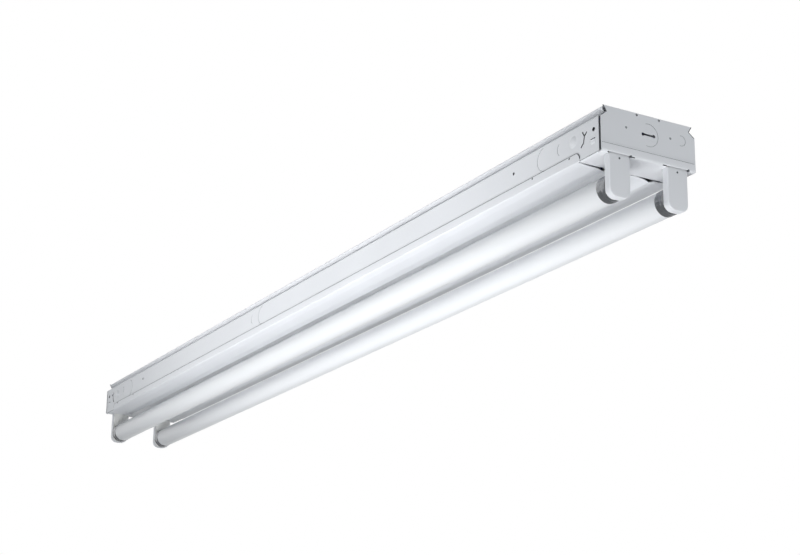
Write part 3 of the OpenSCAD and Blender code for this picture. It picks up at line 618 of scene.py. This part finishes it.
# Colour of each lead, its route and the signs that its X and Y take
LEADS = {
    "lead_black": ("black", LINE_ROUTE, 1, -1),
    "lead_white": ("white", LINE_ROUTE, 1, 1),
    "lead_blue_1": ("blue", LAMP_ROUTE, 1, -1),
    "lead_blue_2": ("blue", LAMP_ROUTE, 1, 1),
    "lead_red_1": ("red", LAMP_ROUTE, -1, -1),
    "lead_red_2": ("red", JUMPER_ROUTE, 1, 1),
}


# Settings
class BattenFinish(bpy.types.PropertyGroup):
    enamel_low: StringProperty(name="Enamel, darker", description="Darker tone of the baked enamel, sRGB hex",
                               default="#DDDFE3")
    enamel_high: StringProperty(name="Enamel, lighter", default="#E1E3E7",
                                description="Lighter tone of the baked enamel, sRGB hex")


class BattenShield(bpy.types.PropertyGroup):
    bend: FloatProperty(name="Bend radius", description="Outside radius between a shield's face and its rim",
                        default=0.0014, unit="LENGTH")
    sheet: FloatProperty(name="Sheet", description="Thickness of the shield's steel", default=0.0006,
                         unit="LENGTH")


class BattenLamp(bpy.types.PropertyGroup):
    shoulder: FloatProperty(name="Shoulder", description="Radius of the glass where its end turns in",
                            default=0.0015, unit="LENGTH")
    rim: FloatProperty(name="Cap rim", description="Radius of the cap's front rim", default=0.0016,
                       unit="LENGTH")
    coil: FloatProperty(name="Filament coil", description="Diameter of the coiled filament", default=0.0016,
                        unit="LENGTH")
    coil_turns: IntProperty(name="Filament turns", description="Turns of the coiled filament", default=14)
    wire: FloatProperty(name="Support wire", description="Diameter of the filament's support wires",
                        default=0.0006, unit="LENGTH")
    reach: FloatProperty(name="Reach", description="Free length of the support wires past the stem",
                         default=0.009, unit="LENGTH")


class BattenWiring(bpy.types.PropertyGroup):
    bend: FloatProperty(name="Lead bend", description="Radius over which a lead is bent", default=0.005,
                        unit="LENGTH")
    lead: FloatProperty(name="Lead", description="Outside diameter of a lead's insulation", default=0.0021,
                        unit="LENGTH")
    head: FloatProperty(name="Screw head", description="Height of a pan head", default=0.0024, unit="LENGTH")
    shank: FloatProperty(name="Screw shank", description="Diameter of a screw's thread", default=0.0039,
                         unit="LENGTH")
    wire: FloatProperty(name="Winding pitch", description="Space that a turn of the coils' wire takes",
                        default=0.0009, unit="LENGTH")
    turns: IntProperty(name="Turns", description="Turns in the outer layer of each coil", default=28)
    winding: FloatProperty(name="Winding height", description="Height of a coil's winding", default=0.017,
                           unit="LENGTH")
    core: FloatVectorProperty(name="Core", description="Length, width and height of a coil's core", size=3,
                              subtype="TRANSLATION", default=(0.030, 0.010, 0.0193))


class BattenStage(bpy.types.PropertyGroup):
    lens: FloatProperty(name="Lens", description="Focal length for a 36 mm wide sensor, in millimetres",
                        default=77.93)
    place: FloatVectorProperty(name="Camera", description="Place of the camera", size=3,
                               subtype="TRANSLATION", default=(1.76407, -0.92542, -0.62920))
    floor: FloatProperty(name="Floor", description="Height of the floor", default=-4.3, unit="LENGTH")
    key: FloatProperty(name="Key lamp", description="Power of the low soft spot on lamp 1's side, in watts",
                       default=158)
    under: FloatProperty(name="Under light", default=34,
                         description="Power of the broad softbox under the lamps, in watts")
    fill: FloatProperty(name="End fill", default=20,
                        description="Power of the small softbox below the near end, in watts")
    back: FloatProperty(name="Back light", description="Power of the softbox above and behind, in watts; the"
                        " two smaller ones at the back follow it", default=46)


# Stage
class BATTEN_OT_stage(bpy.types.Operator):
    """Sets up the camera, the soft studio light and the pale floor"""
    bl_idname = "batten.stage"
    bl_label = "Stage"

    # Softboxes: place, target, width, and the setting and the share of it that give the power
    SOFTBOXES = {
        "broad_under_light": ((0.85, -1.3, -2.2), (0.6, 0, -0.05), 1.0, "under", 1.0),
        "end_fill": ((2.2, 0.2, -1.6), (0.6, 0, -0.05), 1.0, "fill", 1.0),
        "back_top_light": ((0, 2.2, 2.4), (0, 0, 0), 2.0, "back", 1.0),
        "back_side_light": ((0, 2.6, -0.35), (0, 0, -0.05), 1.5, "back", 0.18),
        "back_end_light": ((-2.6, 0.7, 0.35), (-0.6, 0, -0.05), 1.0, "back", 0.25),
    }
    # Turn of the camera as a vector along its axis, in radians, in a frame whose Y runs along the fixture
    CAMERA_TURN = (1.23192839, -0.32068927, 0.46309266)
    FLOOR_R = 30

    def execute(self, context):
        sizes = context.scene.batten_stage
        self.add_camera(context, sizes)
        context.scene.view_settings.view_transform = "Standard"
        self.light_world(context)
        self.add_light("low_side_key", "SPOT", (0.16, -1.72, -1.62), (0.05, 0, -0.05), sizes.key,
                       spot_size=math.radians(34), spot_blend=1.0, shadow_soft_size=0.14)
        for name, (place, target, width, setting, share) in self.SOFTBOXES.items():
            self.add_light(name, "AREA", place, target, getattr(sizes, setting) * share,
                           shape="DISK", size=width)
        self.add_floor(sizes)
        return {"FINISHED"}

    def add_camera(self, context, sizes):
        camera = bpy.data.cameras.new("camera")
        camera.lens = sizes.lens
        camera.sensor_width = 36
        camera.clip_start = 0.01
        camera.clip_end = 60
        eye = new_object("camera", camera)
        context.scene.camera = eye
        angle = math.sqrt(sum(t * t for t in self.CAMERA_TURN))
        rows = Matrix.Rotation(angle, 3, Vector(self.CAMERA_TURN).normalized())
        across, down, ahead = [Vector((-r[1], r[0], r[2])) for r in rows]
        placed = Matrix((across, -down, -ahead)).transposed().to_4x4()
        placed.translation = Vector(sizes.place)
        eye.matrix_world = placed

    def add_floor(self, sizes):
        floor = bmesh.new()
        bmesh.ops.create_circle(floor, cap_ends=True, segments=64, radius=self.FLOOR_R)
        mesh = bpy.data.meshes.new("floor")
        floor.to_mesh(mesh)
        floor.free()
        ground = new_object("floor", mesh)
        ground.location = (0, 0, sizes.floor)
        ground.data.materials.append(material("floor_screed"))

    def add_light(self, name, kind, place, target, power, **settings):
        """A light that points at its target and that camera and glossy rays pass through."""
        light = bpy.data.lights.new(name, kind)
        light.energy = power
        for setting, value in settings.items():
            setattr(light, setting, value)
        made = new_object(name, light)
        made.matrix_world = (Vector(target) - Vector(place)).to_track_quat("-Z", "Y").to_matrix().to_4x4()
        made.location = place
        made.visible_camera = False
        made.visible_glossy = False

    def light_world(self, context):
        """Soft light from all round, a little bluer from below, that camera, glossy and bent rays see as
        plain white."""
        world = bpy.data.worlds.new("studio")
        context.scene.world = world
        world.use_nodes = True
        tree = world.node_tree
        tree.nodes.clear()
        place = add(tree, "ShaderNodeTexCoord")
        parts = add(tree, "ShaderNodeSeparateXYZ", links={"Vector": place.outputs["Generated"]})
        height = add(tree, "ShaderNodeMapRange", values={"From Min": -1.0, "From Max": 1.0},
                     links={"Value": parts.outputs["Z"]})
        ramp = add(tree, "ShaderNodeValToRGB", links={"Fac": height})
        ramp.color_ramp.elements[0].color = (0.95, 0.98, 1.0, 1)
        ramp.color_ramp.elements[1].color = (0.90, 0.94, 0.97, 1)
        soft = add(tree, "ShaderNodeBackground", values={"Strength": 0.50},
                   links={"Color": ramp.outputs["Color"]})
        white = add(tree, "ShaderNodeBackground", values={"Color": (1, 1, 1, 1), "Strength": 1.0})
        sight = add(tree, "ShaderNodeLightPath")
        seen = any_ray(tree, sight, "Is Camera Ray", "Is Glossy Ray", "Is Transmission Ray")
        mixed = add(tree, "ShaderNodeMixShader", links={0: seen, 1: soft, 2: white})
        add(tree, "ShaderNodeOutputWorld", links={"Surface": mixed})


# Housing
class BATTEN_OT_housing(bpy.types.Operator):
    """Makes the folded channel, end plates, cover and end saddles with their dark edges, painted shade lines
    and swellings
    """
    bl_idname = "batten.housing"
    bl_label = "Housing"

    # A face counts as inside a cut or groove when its middle lies under the skin by more than SKIN_DEPTH,
    # and as the wall of a cut when that is deeper than a scored groove
    SKIN_DEPTH = 0.00002
    GROOVE_DEPTH = 0.00021
    UPRIGHT = 0.5

    def execute(self, context):
        kinds = {"housing_channel": self.in_wall, "end_plate_a": self.in_plate, "end_plate_b": self.in_plate,
                 "end_saddle_a": self.in_saddle, "end_saddle_b": self.in_saddle,
                 "channel_cover": self.in_cover}
        for node, kind in kinds.items():
            piece = copy_of_node("sheet_" + node, node)
            if node == "housing_channel":
                self.flatten_domes(piece)
            body = "cover" if node == "channel_cover" else "housing"
            finish_piece(piece, "white_baked_enamel", body, "white_paint", node)
            # The dark edge also paints shade in cuts and dimples, and the grey paints shade in shallow
            # grooves
            piece.data.materials.append(material("sheared_steel_edge"))
            piece.data.materials.append(material("scored_enamel"))
            for face in piece.data.polygons:
                face.material_index = kind(face)
        self.make_joint_lines()
        self.make_lip_shadow_lines()
        self.make_swellings()
        return {"FINISHED"}

    def flatten_domes(self, piece):
        """Lays the channel's round domes flatter, under the rounder ones that make_swellings adds."""
        for vert in piece.data.vertices:
            if abs(vert.co.y) > WALL_Y:
                vert.co.y = math.copysign(WALL_Y + (abs(vert.co.y) - WALL_Y) * 0.75, vert.co.y)

    def in_wall(self, face):
        """Edges of holes and slots and floors of knockout grooves lie between the wall's two faces."""
        wall_end, wall_low, wall_high, through = HALF_L - 0.0041, -0.0445, -0.0115, 0.00065
        c = face.center
        depth = WALL_Y - abs(c.y)
        if not (0.00003 < depth < through and wall_low < c.z < wall_high and abs(c.x) < wall_end):
            return SKIN
        # Walls of cuts take the dark edge, partly bare steel and partly painted shade; shallow groove floors
        # take painted grey shade
        return EDGE_AND_SHADE if depth > self.GROOVE_DEPTH and abs(face.normal.y) < self.UPRIGHT else RECESS_SHADE

    def in_plate(self, face):
        """The same for an end plate, where the small mark between the knockouts takes only the grey painted
        shade, and the plate's edge at the side notches the dark painted shade.
        """
        plate_low, plate_high, through, notch_y = -0.042, -0.0003, 0.00078, 0.0465
        mark_y, mark_z, mark_r = 0.0253, -0.0167, 0.0016
        c = face.center
        depth = PLATE_X - abs(c.x)
        if not (self.SKIN_DEPTH < depth < through and plate_low < c.z < plate_high):
            return SKIN
        if abs(c.y) > notch_y:
            return EDGE_AND_SHADE
        if abs(abs(c.y) - mark_y) < mark_r and abs(c.z - mark_z) < mark_r:
            return RECESS_SHADE
        return EDGE_AND_SHADE if depth > self.GROOVE_DEPTH and abs(face.normal.x) < self.UPRIGHT else RECESS_SHADE

    def in_saddle(self, face):
        """Ends of the slits beside each shield, in the dark edge: bare steel and painted shade."""
        slit_in, slit_out, slit_top = HALF_L - 0.0016, HALF_L - 0.0006, -0.0423
        c = face.center
        slit = slit_in < abs(c.x) < slit_out and abs(face.normal.x) > 0.9 and c.z < slit_top
        return EDGE_AND_SHADE if slit else SKIN

    def in_cover(self, face):
        """Dimples of the lips, coloured dark as painted shade."""
        lip_in, lip_out, lip_low, lip_high, reach = 0.05465, 0.05488, -0.041, -0.0366, 0.565
        c = face.center
        dimple = lip_in < abs(c.y) < lip_out and lip_low < c.z < lip_high and abs(c.x) < reach
        return EDGE_AND_SHADE if dimple else SKIN

    def make_joint_lines(self):
        """Dark strips of painted shadow: the joint over each saddle's lip, partly bare edge and partly
        painted shadow, a dark stud for the shade in the round relief at each slit's end, and the shadow of
        the gap along the plate's edge where it follows the channel's groove and shoulder."""
        half_w, lip, line_h, proud, thick = 0.0528, SADDLE_Z + 0.0082, 0.0006, 0.00006, 0.0002
        relief_y, relief_z, relief_r, relief_l = 0.0121, 0.0007, 0.0011, 0.0013
        outline = [(0.0509, -0.0001), (0.0475, -0.0056), (0.0538, -0.0104)]
        inset = [(0.0502, -0.0001), (0.0466, -0.0057), (0.0532, -0.0109)]
        for end, sign in ENDS.items():
            bm = bmesh.new()
            add_block(bm, (sign * (PLATE_X - thick), -half_w, lip - 0.0001),
                      (sign * (PLATE_X + proud), half_w, lip + line_h))
            for side in SIDES:
                relief = (sign * PLATE_X, side * LAMP_Y + relief_y, SADDLE_Z + relief_z)
                add_stud(bm, relief, relief_r, relief_l)
                lines = [[Vector((sign * (PLATE_X + proud), side * y, z)) for y, z in line]
                         for line in (outline, inset)]
                add_ribbon(bm, *lines, Vector((-sign * thick, 0, 0)))
            finish_piece(from_bmesh("joint_line_" + end, bm), "sheared_steel_edge", "housing", "white_paint")

    def make_lip_shadow_lines(self):
        """Painted shadow line just over the cover's lips, with their rounded ends."""
        top, reach, corner_r, edge = SADDLE_Z + 0.0085, 0.5767, 0.006, 0.0004
        lip_y, thick = 0.05488, 0.0005
        turns = [math.radians(a) for a in range(0, 91, 10)]
        lines = []
        for r in (corner_r, corner_r + edge):
            half = [(reach - corner_r + r * math.sin(t), top - corner_r + r * math.cos(t)) for t in turns]
            lines.append([(-x, z) for x, z in reversed(half)] + half)
        bm = bmesh.new()
        for side in SIDES:
            rails = [[Vector((x, side * lip_y, z)) for x, z in line] for line in lines]
            add_ribbon(bm, *rails, Vector((0, -side * thick, 0)))
        finish_piece(from_bmesh("lip_shadow_lines", bm), "sheared_steel_edge", "cover", "white_paint")

    def make_swellings(self):
        """The round dome and the swelling under each lanced slit, pressed out of the side walls."""
        for end, sign in ENDS.items():
            bm = bmesh.new()
            for side in SIDES:
                self.add_dome(bm, sign, side)
            for side in SIDES:
                self.add_slit_swelling(bm, sign, side)
            finish_piece(from_bmesh("swellings_" + end, bm), "white_baked_enamel", "housing", "white_paint")

    def add_dome(self, bm, sign, side):
        """A cap of a ball, closed by a flat face inside the wall."""
        ball_r, edge_slope, steps, around = 0.0141, math.radians(26), 12, 48
        middle_x, middle_z, base_y = sign * (HALF_L - 0.043), SADDLE_Z + 0.022, 0.05381
        rings = []
        for k in range(steps + 1):
            slope = edge_slope * k / steps
            radius, out = ball_r * math.sin(slope), ball_r * (math.cos(slope) - math.cos(edge_slope))
            turns = [math.tau * n / around for n in range(around if k else 1)]
            rings.append([bm.verts.new((middle_x + radius * math.cos(t), side * (base_y + out),
                                        middle_z + radius * math.sin(t))) for t in turns])
        join_rings(bm, rings, around)
        bm.faces.new(rings[-1])

    def add_slit_swelling(self, bm, sign, side):
        """The lower half of a flat ball, closed by a face at the slit."""
        middle = Vector((sign * (HALF_L - 0.0131), side * 0.0537, SADDLE_Z + 0.0142))
        radii = (0.0038, 0.0014, 0.0045)
        made = bmesh.ops.create_uvsphere(bm, u_segments=32, v_segments=20, radius=1)["verts"]
        for vert in made:
            vert.co = middle + Vector([c * r for c, r in zip(vert.co, radii)])
        ball = [*made, *{e for v in made for e in v.link_edges}, *{f for v in made for f in v.link_faces}]
        cut = bmesh.ops.bisect_plane(bm, geom=ball, plane_co=middle, plane_no=(0, 0, 1), clear_outer=True)
        bmesh.ops.holes_fill(bm, edges=[e for e in cut["geom_cut"] if isinstance(e, bmesh.types.BMEdge)])


# Socket shields
class BATTEN_OT_shields(bpy.types.Operator):
    """Makes the pressed steel cups round the lampholders"""
    bl_idname = "batten.shields"
    bl_label = "Socket shields"

    def execute(self, context):
        sizes = context.scene.batten_shield
        for end, lamp in PLACES:
            node = "socket_shield_" + end + lamp
            low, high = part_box(node)
            self.make_cup(node, ENDS[end], LAMPS[lamp] * LAMP_Y, high.y - low.y, low.z, sizes)
        return {"FINISHED"}

    def make_cup(self, node, sign, y, width, bottom, sizes):
        """A U-shaped face, bent over a generous radius into a rim that runs back to the saddle."""
        corner_r, face_x, rim_x, tab_top = 0.0085, HALF_L - 0.0015, HALF_L - 0.0086, -0.039
        least_bend, tab_overlap, bend_steps, corner_steps = 0.0002, 0.0001, 6, 10
        mark_y, mark_z, mark_r, mark_l = -0.0002, -0.0032, 0.0010, 0.0005
        bend, sheet = sizes.bend, sizes.sheet
        bm = bmesh.new()

        def outline(inset, x):
            """Points of the U at that inset from its outline."""
            half, r, low = width / 2 - inset, corner_r - inset, bottom + inset
            points = [(-half, SADDLE_Z)]
            for side, start in ((-1, math.pi), (1, 1.5 * math.pi)):
                turns = [start + math.pi / 2 * k / corner_steps for k in range(corner_steps + 1)]
                points += [(side * (half - r) + r * math.cos(t), low + r + r * math.sin(t)) for t in turns]
            points.append((half, SADDLE_Z))
            return [bm.verts.new((sign * x, y + p[0], p[1])) for p in points]

        def skin(depth):
            """Lines of one face of the sheet, depth inside the outer face, from the rim's end to the face."""
            radius = max(bend - depth, least_bend)
            lines = [outline(depth, rim_x), outline(depth, face_x - bend)]
            for k in range(1, bend_steps + 1):
                t = math.pi / 2 * k / bend_steps
                inset = depth + radius * (1 - math.cos(t))
                lines.append(outline(inset, face_x - bend + radius * math.sin(t)))
            return lines

        outer, inner = skin(0), skin(sheet)
        for lines in (outer, inner):
            for one, other in zip(lines, lines[1:]):
                join_lines(bm, one, other)
            bm.faces.new(lines[-1])
        join_lines(bm, outer[0], inner[0])
        for end in (0, -1):
            bm.faces.new([line[end] for line in outer] + [line[end] for line in reversed(inner)])
        bm.faces.new([outer[-1][0], outer[-1][-1], inner[-1][-1], inner[-1][0]])
        # The tab that stands up behind the end plate
        half = width / 2 - bend
        add_block(bm, (sign * (face_x - sheet), y - half, SADDLE_Z - tab_overlap),
                  (sign * face_x, y + half, tab_top))
        # Round punch mark in the face, just under the saddle, drawn as a dark stud: painted shade in the dent
        add_stud(bm, (sign * (face_x - 0.0002), y + mark_y, SADDLE_Z + mark_z), mark_r, mark_l, EDGE_AND_SHADE)
        piece = from_bmesh("cup_" + node, bm, 30)
        finish_piece(piece, "white_baked_enamel", "housing", "white_paint", node)
        piece.data.materials.append(material("sheared_steel_edge"))


# Lamps
class BATTEN_OT_lamps(bpy.types.Operator):
    """Makes the two lamps: glass, caps, insulators, pins and cathodes"""
    bl_idname = "batten.lamps"
    bl_label = "Lamps"

    def execute(self, context):
        sizes = context.scene.batten_lamp
        for lamp, side in LAMPS.items():
            body = "lamp_" + lamp
            self.make_tube(lamp, side * LAMP_Y, sizes, body)
            for end, sign in ENDS.items():
                self.make_cap("lamp_cap_" + end + lamp, sign, side * LAMP_Y, sizes, body)
                dress_node("cap_insulator_" + end + lamp, "pressed_fibre_board")
                self.make_pins("lamp_pins_" + end + lamp, sign, body)
                self.make_cathode("cathode_" + end + lamp, sign, sizes, body)
        return {"FINISHED"}

    def make_tube(self, lamp, y, sizes, body):
        """Glass tube, whose ends narrow to a neck under the caps and turn in to a flat face."""
        low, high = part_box("lamp_tube_" + lamp)
        r, neck, bend = (high.z - low.z) / 2, 0.0122, sizes.shoulder
        shoulder, middle = HALF_L - 0.0209, 0.3
        half = [(high.x, 0), (high.x, neck - bend)]
        half += quarter(high.x - bend, neck - bend, bend, steps=6)
        half += [(shoulder + 0.0004, neck), (shoulder - 0.0004, neck + 0.0003), (shoulder - 0.0012, r),
                 (middle, r)]
        profile = half + [(0, r)] + [(-x, q) for x, q in reversed(half)]
        bm = bmesh.new()
        turned_solid(bm, profile, y, 1, segments=96)
        piece = from_bmesh("glass_tube_" + lamp, bm, 40)
        finish_piece(piece, "phosphor_coated_glass", body, "lamp_glass", "lamp_tube_" + lamp)

    def make_cap(self, node, sign, y, sizes, body):
        """A thin cup: rolled front rim, skirt with a pressed groove and an inward roll over the glass."""
        low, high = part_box(node)
        r, rim, wall, face_t, hole = (high.z - low.z) / 2, sizes.rim, 0.0005, 0.0014, 0.0095
        front = max(abs(low.x), abs(high.x))
        back = min(abs(low.x), abs(high.x))
        groove_x, groove_r = front - 0.0036, r - 0.00018
        outside = [(front - 0.0009, hole), (front - 0.0002, hole + 0.0004), (front, hole + 0.001)]
        outside += quarter(front - rim, r - rim, rim, steps=8)
        outside += [(groove_x, r), (groove_x - 0.0004, groove_r), (groove_x - 0.001, groove_r),
                    (groove_x - 0.0014, r), (back + 0.0012, r), (back + 0.0005, r - 0.0001),
                    (back, r - 0.0003)]
        inside = [(back, r - wall), (front - face_t, r - wall), (front - face_t, hole)]
        bm = bmesh.new()
        turned_solid(bm, outside + inside + [outside[0]], y, sign, segments=72)
        bmesh.ops.remove_doubles(bm, verts=bm.verts, dist=0.000001)
        finish_piece(from_bmesh("metal_" + node, bm, 40), "drawn_aluminium", body, "cap_aluminium", node)

    def make_pins(self, node, sign, body):
        """Pins that point out of the lamp."""
        low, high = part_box(node)
        diameter = high.z - low.z
        inputs = {"Length": high.x - low.x, "Diameter": diameter, "Pitch": high.y - low.y - diameter}
        bake_piece("round_" + node, node, "contact_pins", inputs, "drawn_brass", body, "pin_brass",
                   *self.root(node, sign))

    def make_cathode(self, node, sign, sizes, body):
        """A cathode that points into the lamp."""
        low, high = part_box(node)
        inputs = {"Stem length": high.x - low.x - sizes.reach - sizes.coil / 2, "Reach": sizes.reach,
                  "Stem diameter": high.z - low.z, "Wire": sizes.wire, "Turns": float(sizes.coil_turns),
                  "Coil": sizes.coil}
        bake_piece("coiled_" + node, node, "coiled_cathode", inputs, "drawn_nickel", body, "cathode_wire",
                   *self.root(node, -sign))

    def root(self, node, way):
        """Place of the root of a part that points along X that way, and its turn about Z."""
        low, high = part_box(node)
        place = (low.x if way > 0 else high.x, (low.y + high.y) / 2, (low.z + high.z) / 2)
        return place, 0 if way > 0 else math.pi


# Lampholders
class BATTEN_OT_lampholders(bpy.types.Operator):
    """Makes the turn-type lampholders with their rotors and contacts"""
    bl_idname = "batten.lampholders"
    bl_label = "Lampholders"

    def execute(self, context):
        for end, lamp in PLACES:
            for part in ("lampholder_", "rotor_"):
                node = part + end + lamp
                body = "housing" if part == "lampholder_" else node
                finish_piece(copy_of_node("moulded_" + node, node), "moulded_white_urea", body,
                             "white_plastic", node)
            dress_node("contacts_" + end + lamp, "rolled_phosphor_bronze")
        return {"FINISHED"}


# Ballast and wiring
class BATTEN_OT_ballast(bpy.types.Operator):
    """Finishes the ballast, the leads and the small parts inside the channel"""
    bl_idname = "batten.ballast"
    bl_label = "Ballast and wiring"

    DRESSED = {
        "ballast_base": "zinc_plated_steel",
        "ballast_case": "zinc_plated_steel",
        "ballast_board": "glass_epoxy_laminate",
        "ballast_capacitors": "shrunk_polyester_sleeve",
        "disconnect_plug": "moulded_orange_polycarbonate",
        "disconnect_socket": "moulded_orange_polycarbonate",
        "lead_clips": "moulded_nylon",
    }

    def execute(self, context):
        sizes = context.scene.batten_wiring
        for node, coat in self.DRESSED.items():
            dress_node(node, coat)
        self.make_screws("ballast_screws", 2, "zinc_plated_steel", "screw_steel", sizes)
        self.make_screws("ground_screw", 1, "green_dyed_steel", "green_screw", sizes)
        self.make_coils(sizes)
        for node, lead in LEADS.items():
            self.make_lead(node, *lead, sizes)
        return {"FINISHED"}

    def make_screws(self, node, count, coat, slot, sizes):
        low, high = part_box(node)
        head = high.y - low.y
        inputs = {"Head": head, "Height": sizes.head, "Shank": sizes.shank,
                  "Grip": high.z - low.z - sizes.head, "Count": float(count),
                  "Spacing": high.x - low.x - head}
        bake_piece("pan_head_" + node, node, "pan_head_screws", inputs, coat, "housing", slot,
                   place=((low.x + high.x) / 2, 0, low.z + sizes.head))

    def make_coils(self, sizes):
        """The wound turns, and the stacked cores that stand out of them."""
        low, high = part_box("ballast_coils")
        length, half_w, height = sizes.core[0], sizes.core[1] / 2, sizes.core[2]
        spacing = high.x - low.x - length
        middle = (low.x + high.x) / 2
        inputs = {"Width": high.y - low.y - sizes.wire, "Height": sizes.winding - sizes.wire,
                  "Wire": sizes.wire, "Turns": float(sizes.turns), "Count": 2.0, "Spacing": spacing}
        bake_piece("wound_coils", "ballast_coils", "wound_coils", inputs, "enamelled_copper_winding",
                   "housing", "copper_winding", place=(middle, 0, high.z - sizes.winding / 2))
        bm = bmesh.new()
        for x in (middle - spacing / 2, middle + spacing / 2):
            add_block(bm, (x - length / 2, -half_w, high.z - height), (x + length / 2, half_w, high.z))
        bmesh.ops.bevel(bm, geom=bm.edges, offset=0.0005, segments=2, affect="EDGES")
        finish_piece(from_bmesh("stacked_cores", bm), "stacked_core_steel", "housing", "copper_winding")

    def make_lead(self, node, colour, route, end, side, sizes):
        line = bpy.data.meshes.new("line")
        points = [(x * end / 1000, y * side / 1000, z / 1000) for x, y, z in route]
        line.from_pydata(points, [(k, k + 1) for k in range(len(points) - 1)], [])
        bake_piece("round_" + node, node, "round_lead", {"Diameter": sizes.lead, "Bend": sizes.bend},
                   colour + "_extruded_pvc", "housing", colour + "_insulation", source=line)


class BATTEN_PT_panel(bpy.types.Panel):
    bl_label = "Batten light"
    bl_idname = "BATTEN_PT_panel"
    bl_space_type = "VIEW_3D"
    bl_region_type = "UI"
    bl_category = "Batten"

    def draw(self, context):
        for group in GROUPS:
            settings = getattr(context.scene, group)
            for name in settings.bl_rna.properties.keys():
                if name not in ("rna_type", "name"):
                    self.layout.prop(settings, name)
        for operator in OPERATORS:
            self.layout.operator(operator.bl_idname)


OPERATORS = (BATTEN_OT_stage, BATTEN_OT_housing, BATTEN_OT_shields, BATTEN_OT_lamps, BATTEN_OT_lampholders,
             BATTEN_OT_ballast)
GROUPS = {"batten_finish": BattenFinish, "batten_shield": BattenShield, "batten_lamp": BattenLamp,
          "batten_wiring": BattenWiring, "batten_stage": BattenStage}
CLASSES = (*GROUPS.values(), *OPERATORS, BATTEN_PT_panel)


def register():
    for cls in CLASSES:
        bpy.utils.register_class(cls)
    for name, group in GROUPS.items():
        setattr(bpy.types.Scene, name, PointerProperty(type=group))


def unregister():
    for name in GROUPS:
        delattr(bpy.types.Scene, name)
    for cls in reversed(CLASSES):
        bpy.utils.unregister_class(cls)


def main():
    register()
    for operator in OPERATORS:
        family, name = operator.bl_idname.split(".")
        getattr(getattr(bpy.ops, family), name)()


if __name__ == "__main__":
    main()
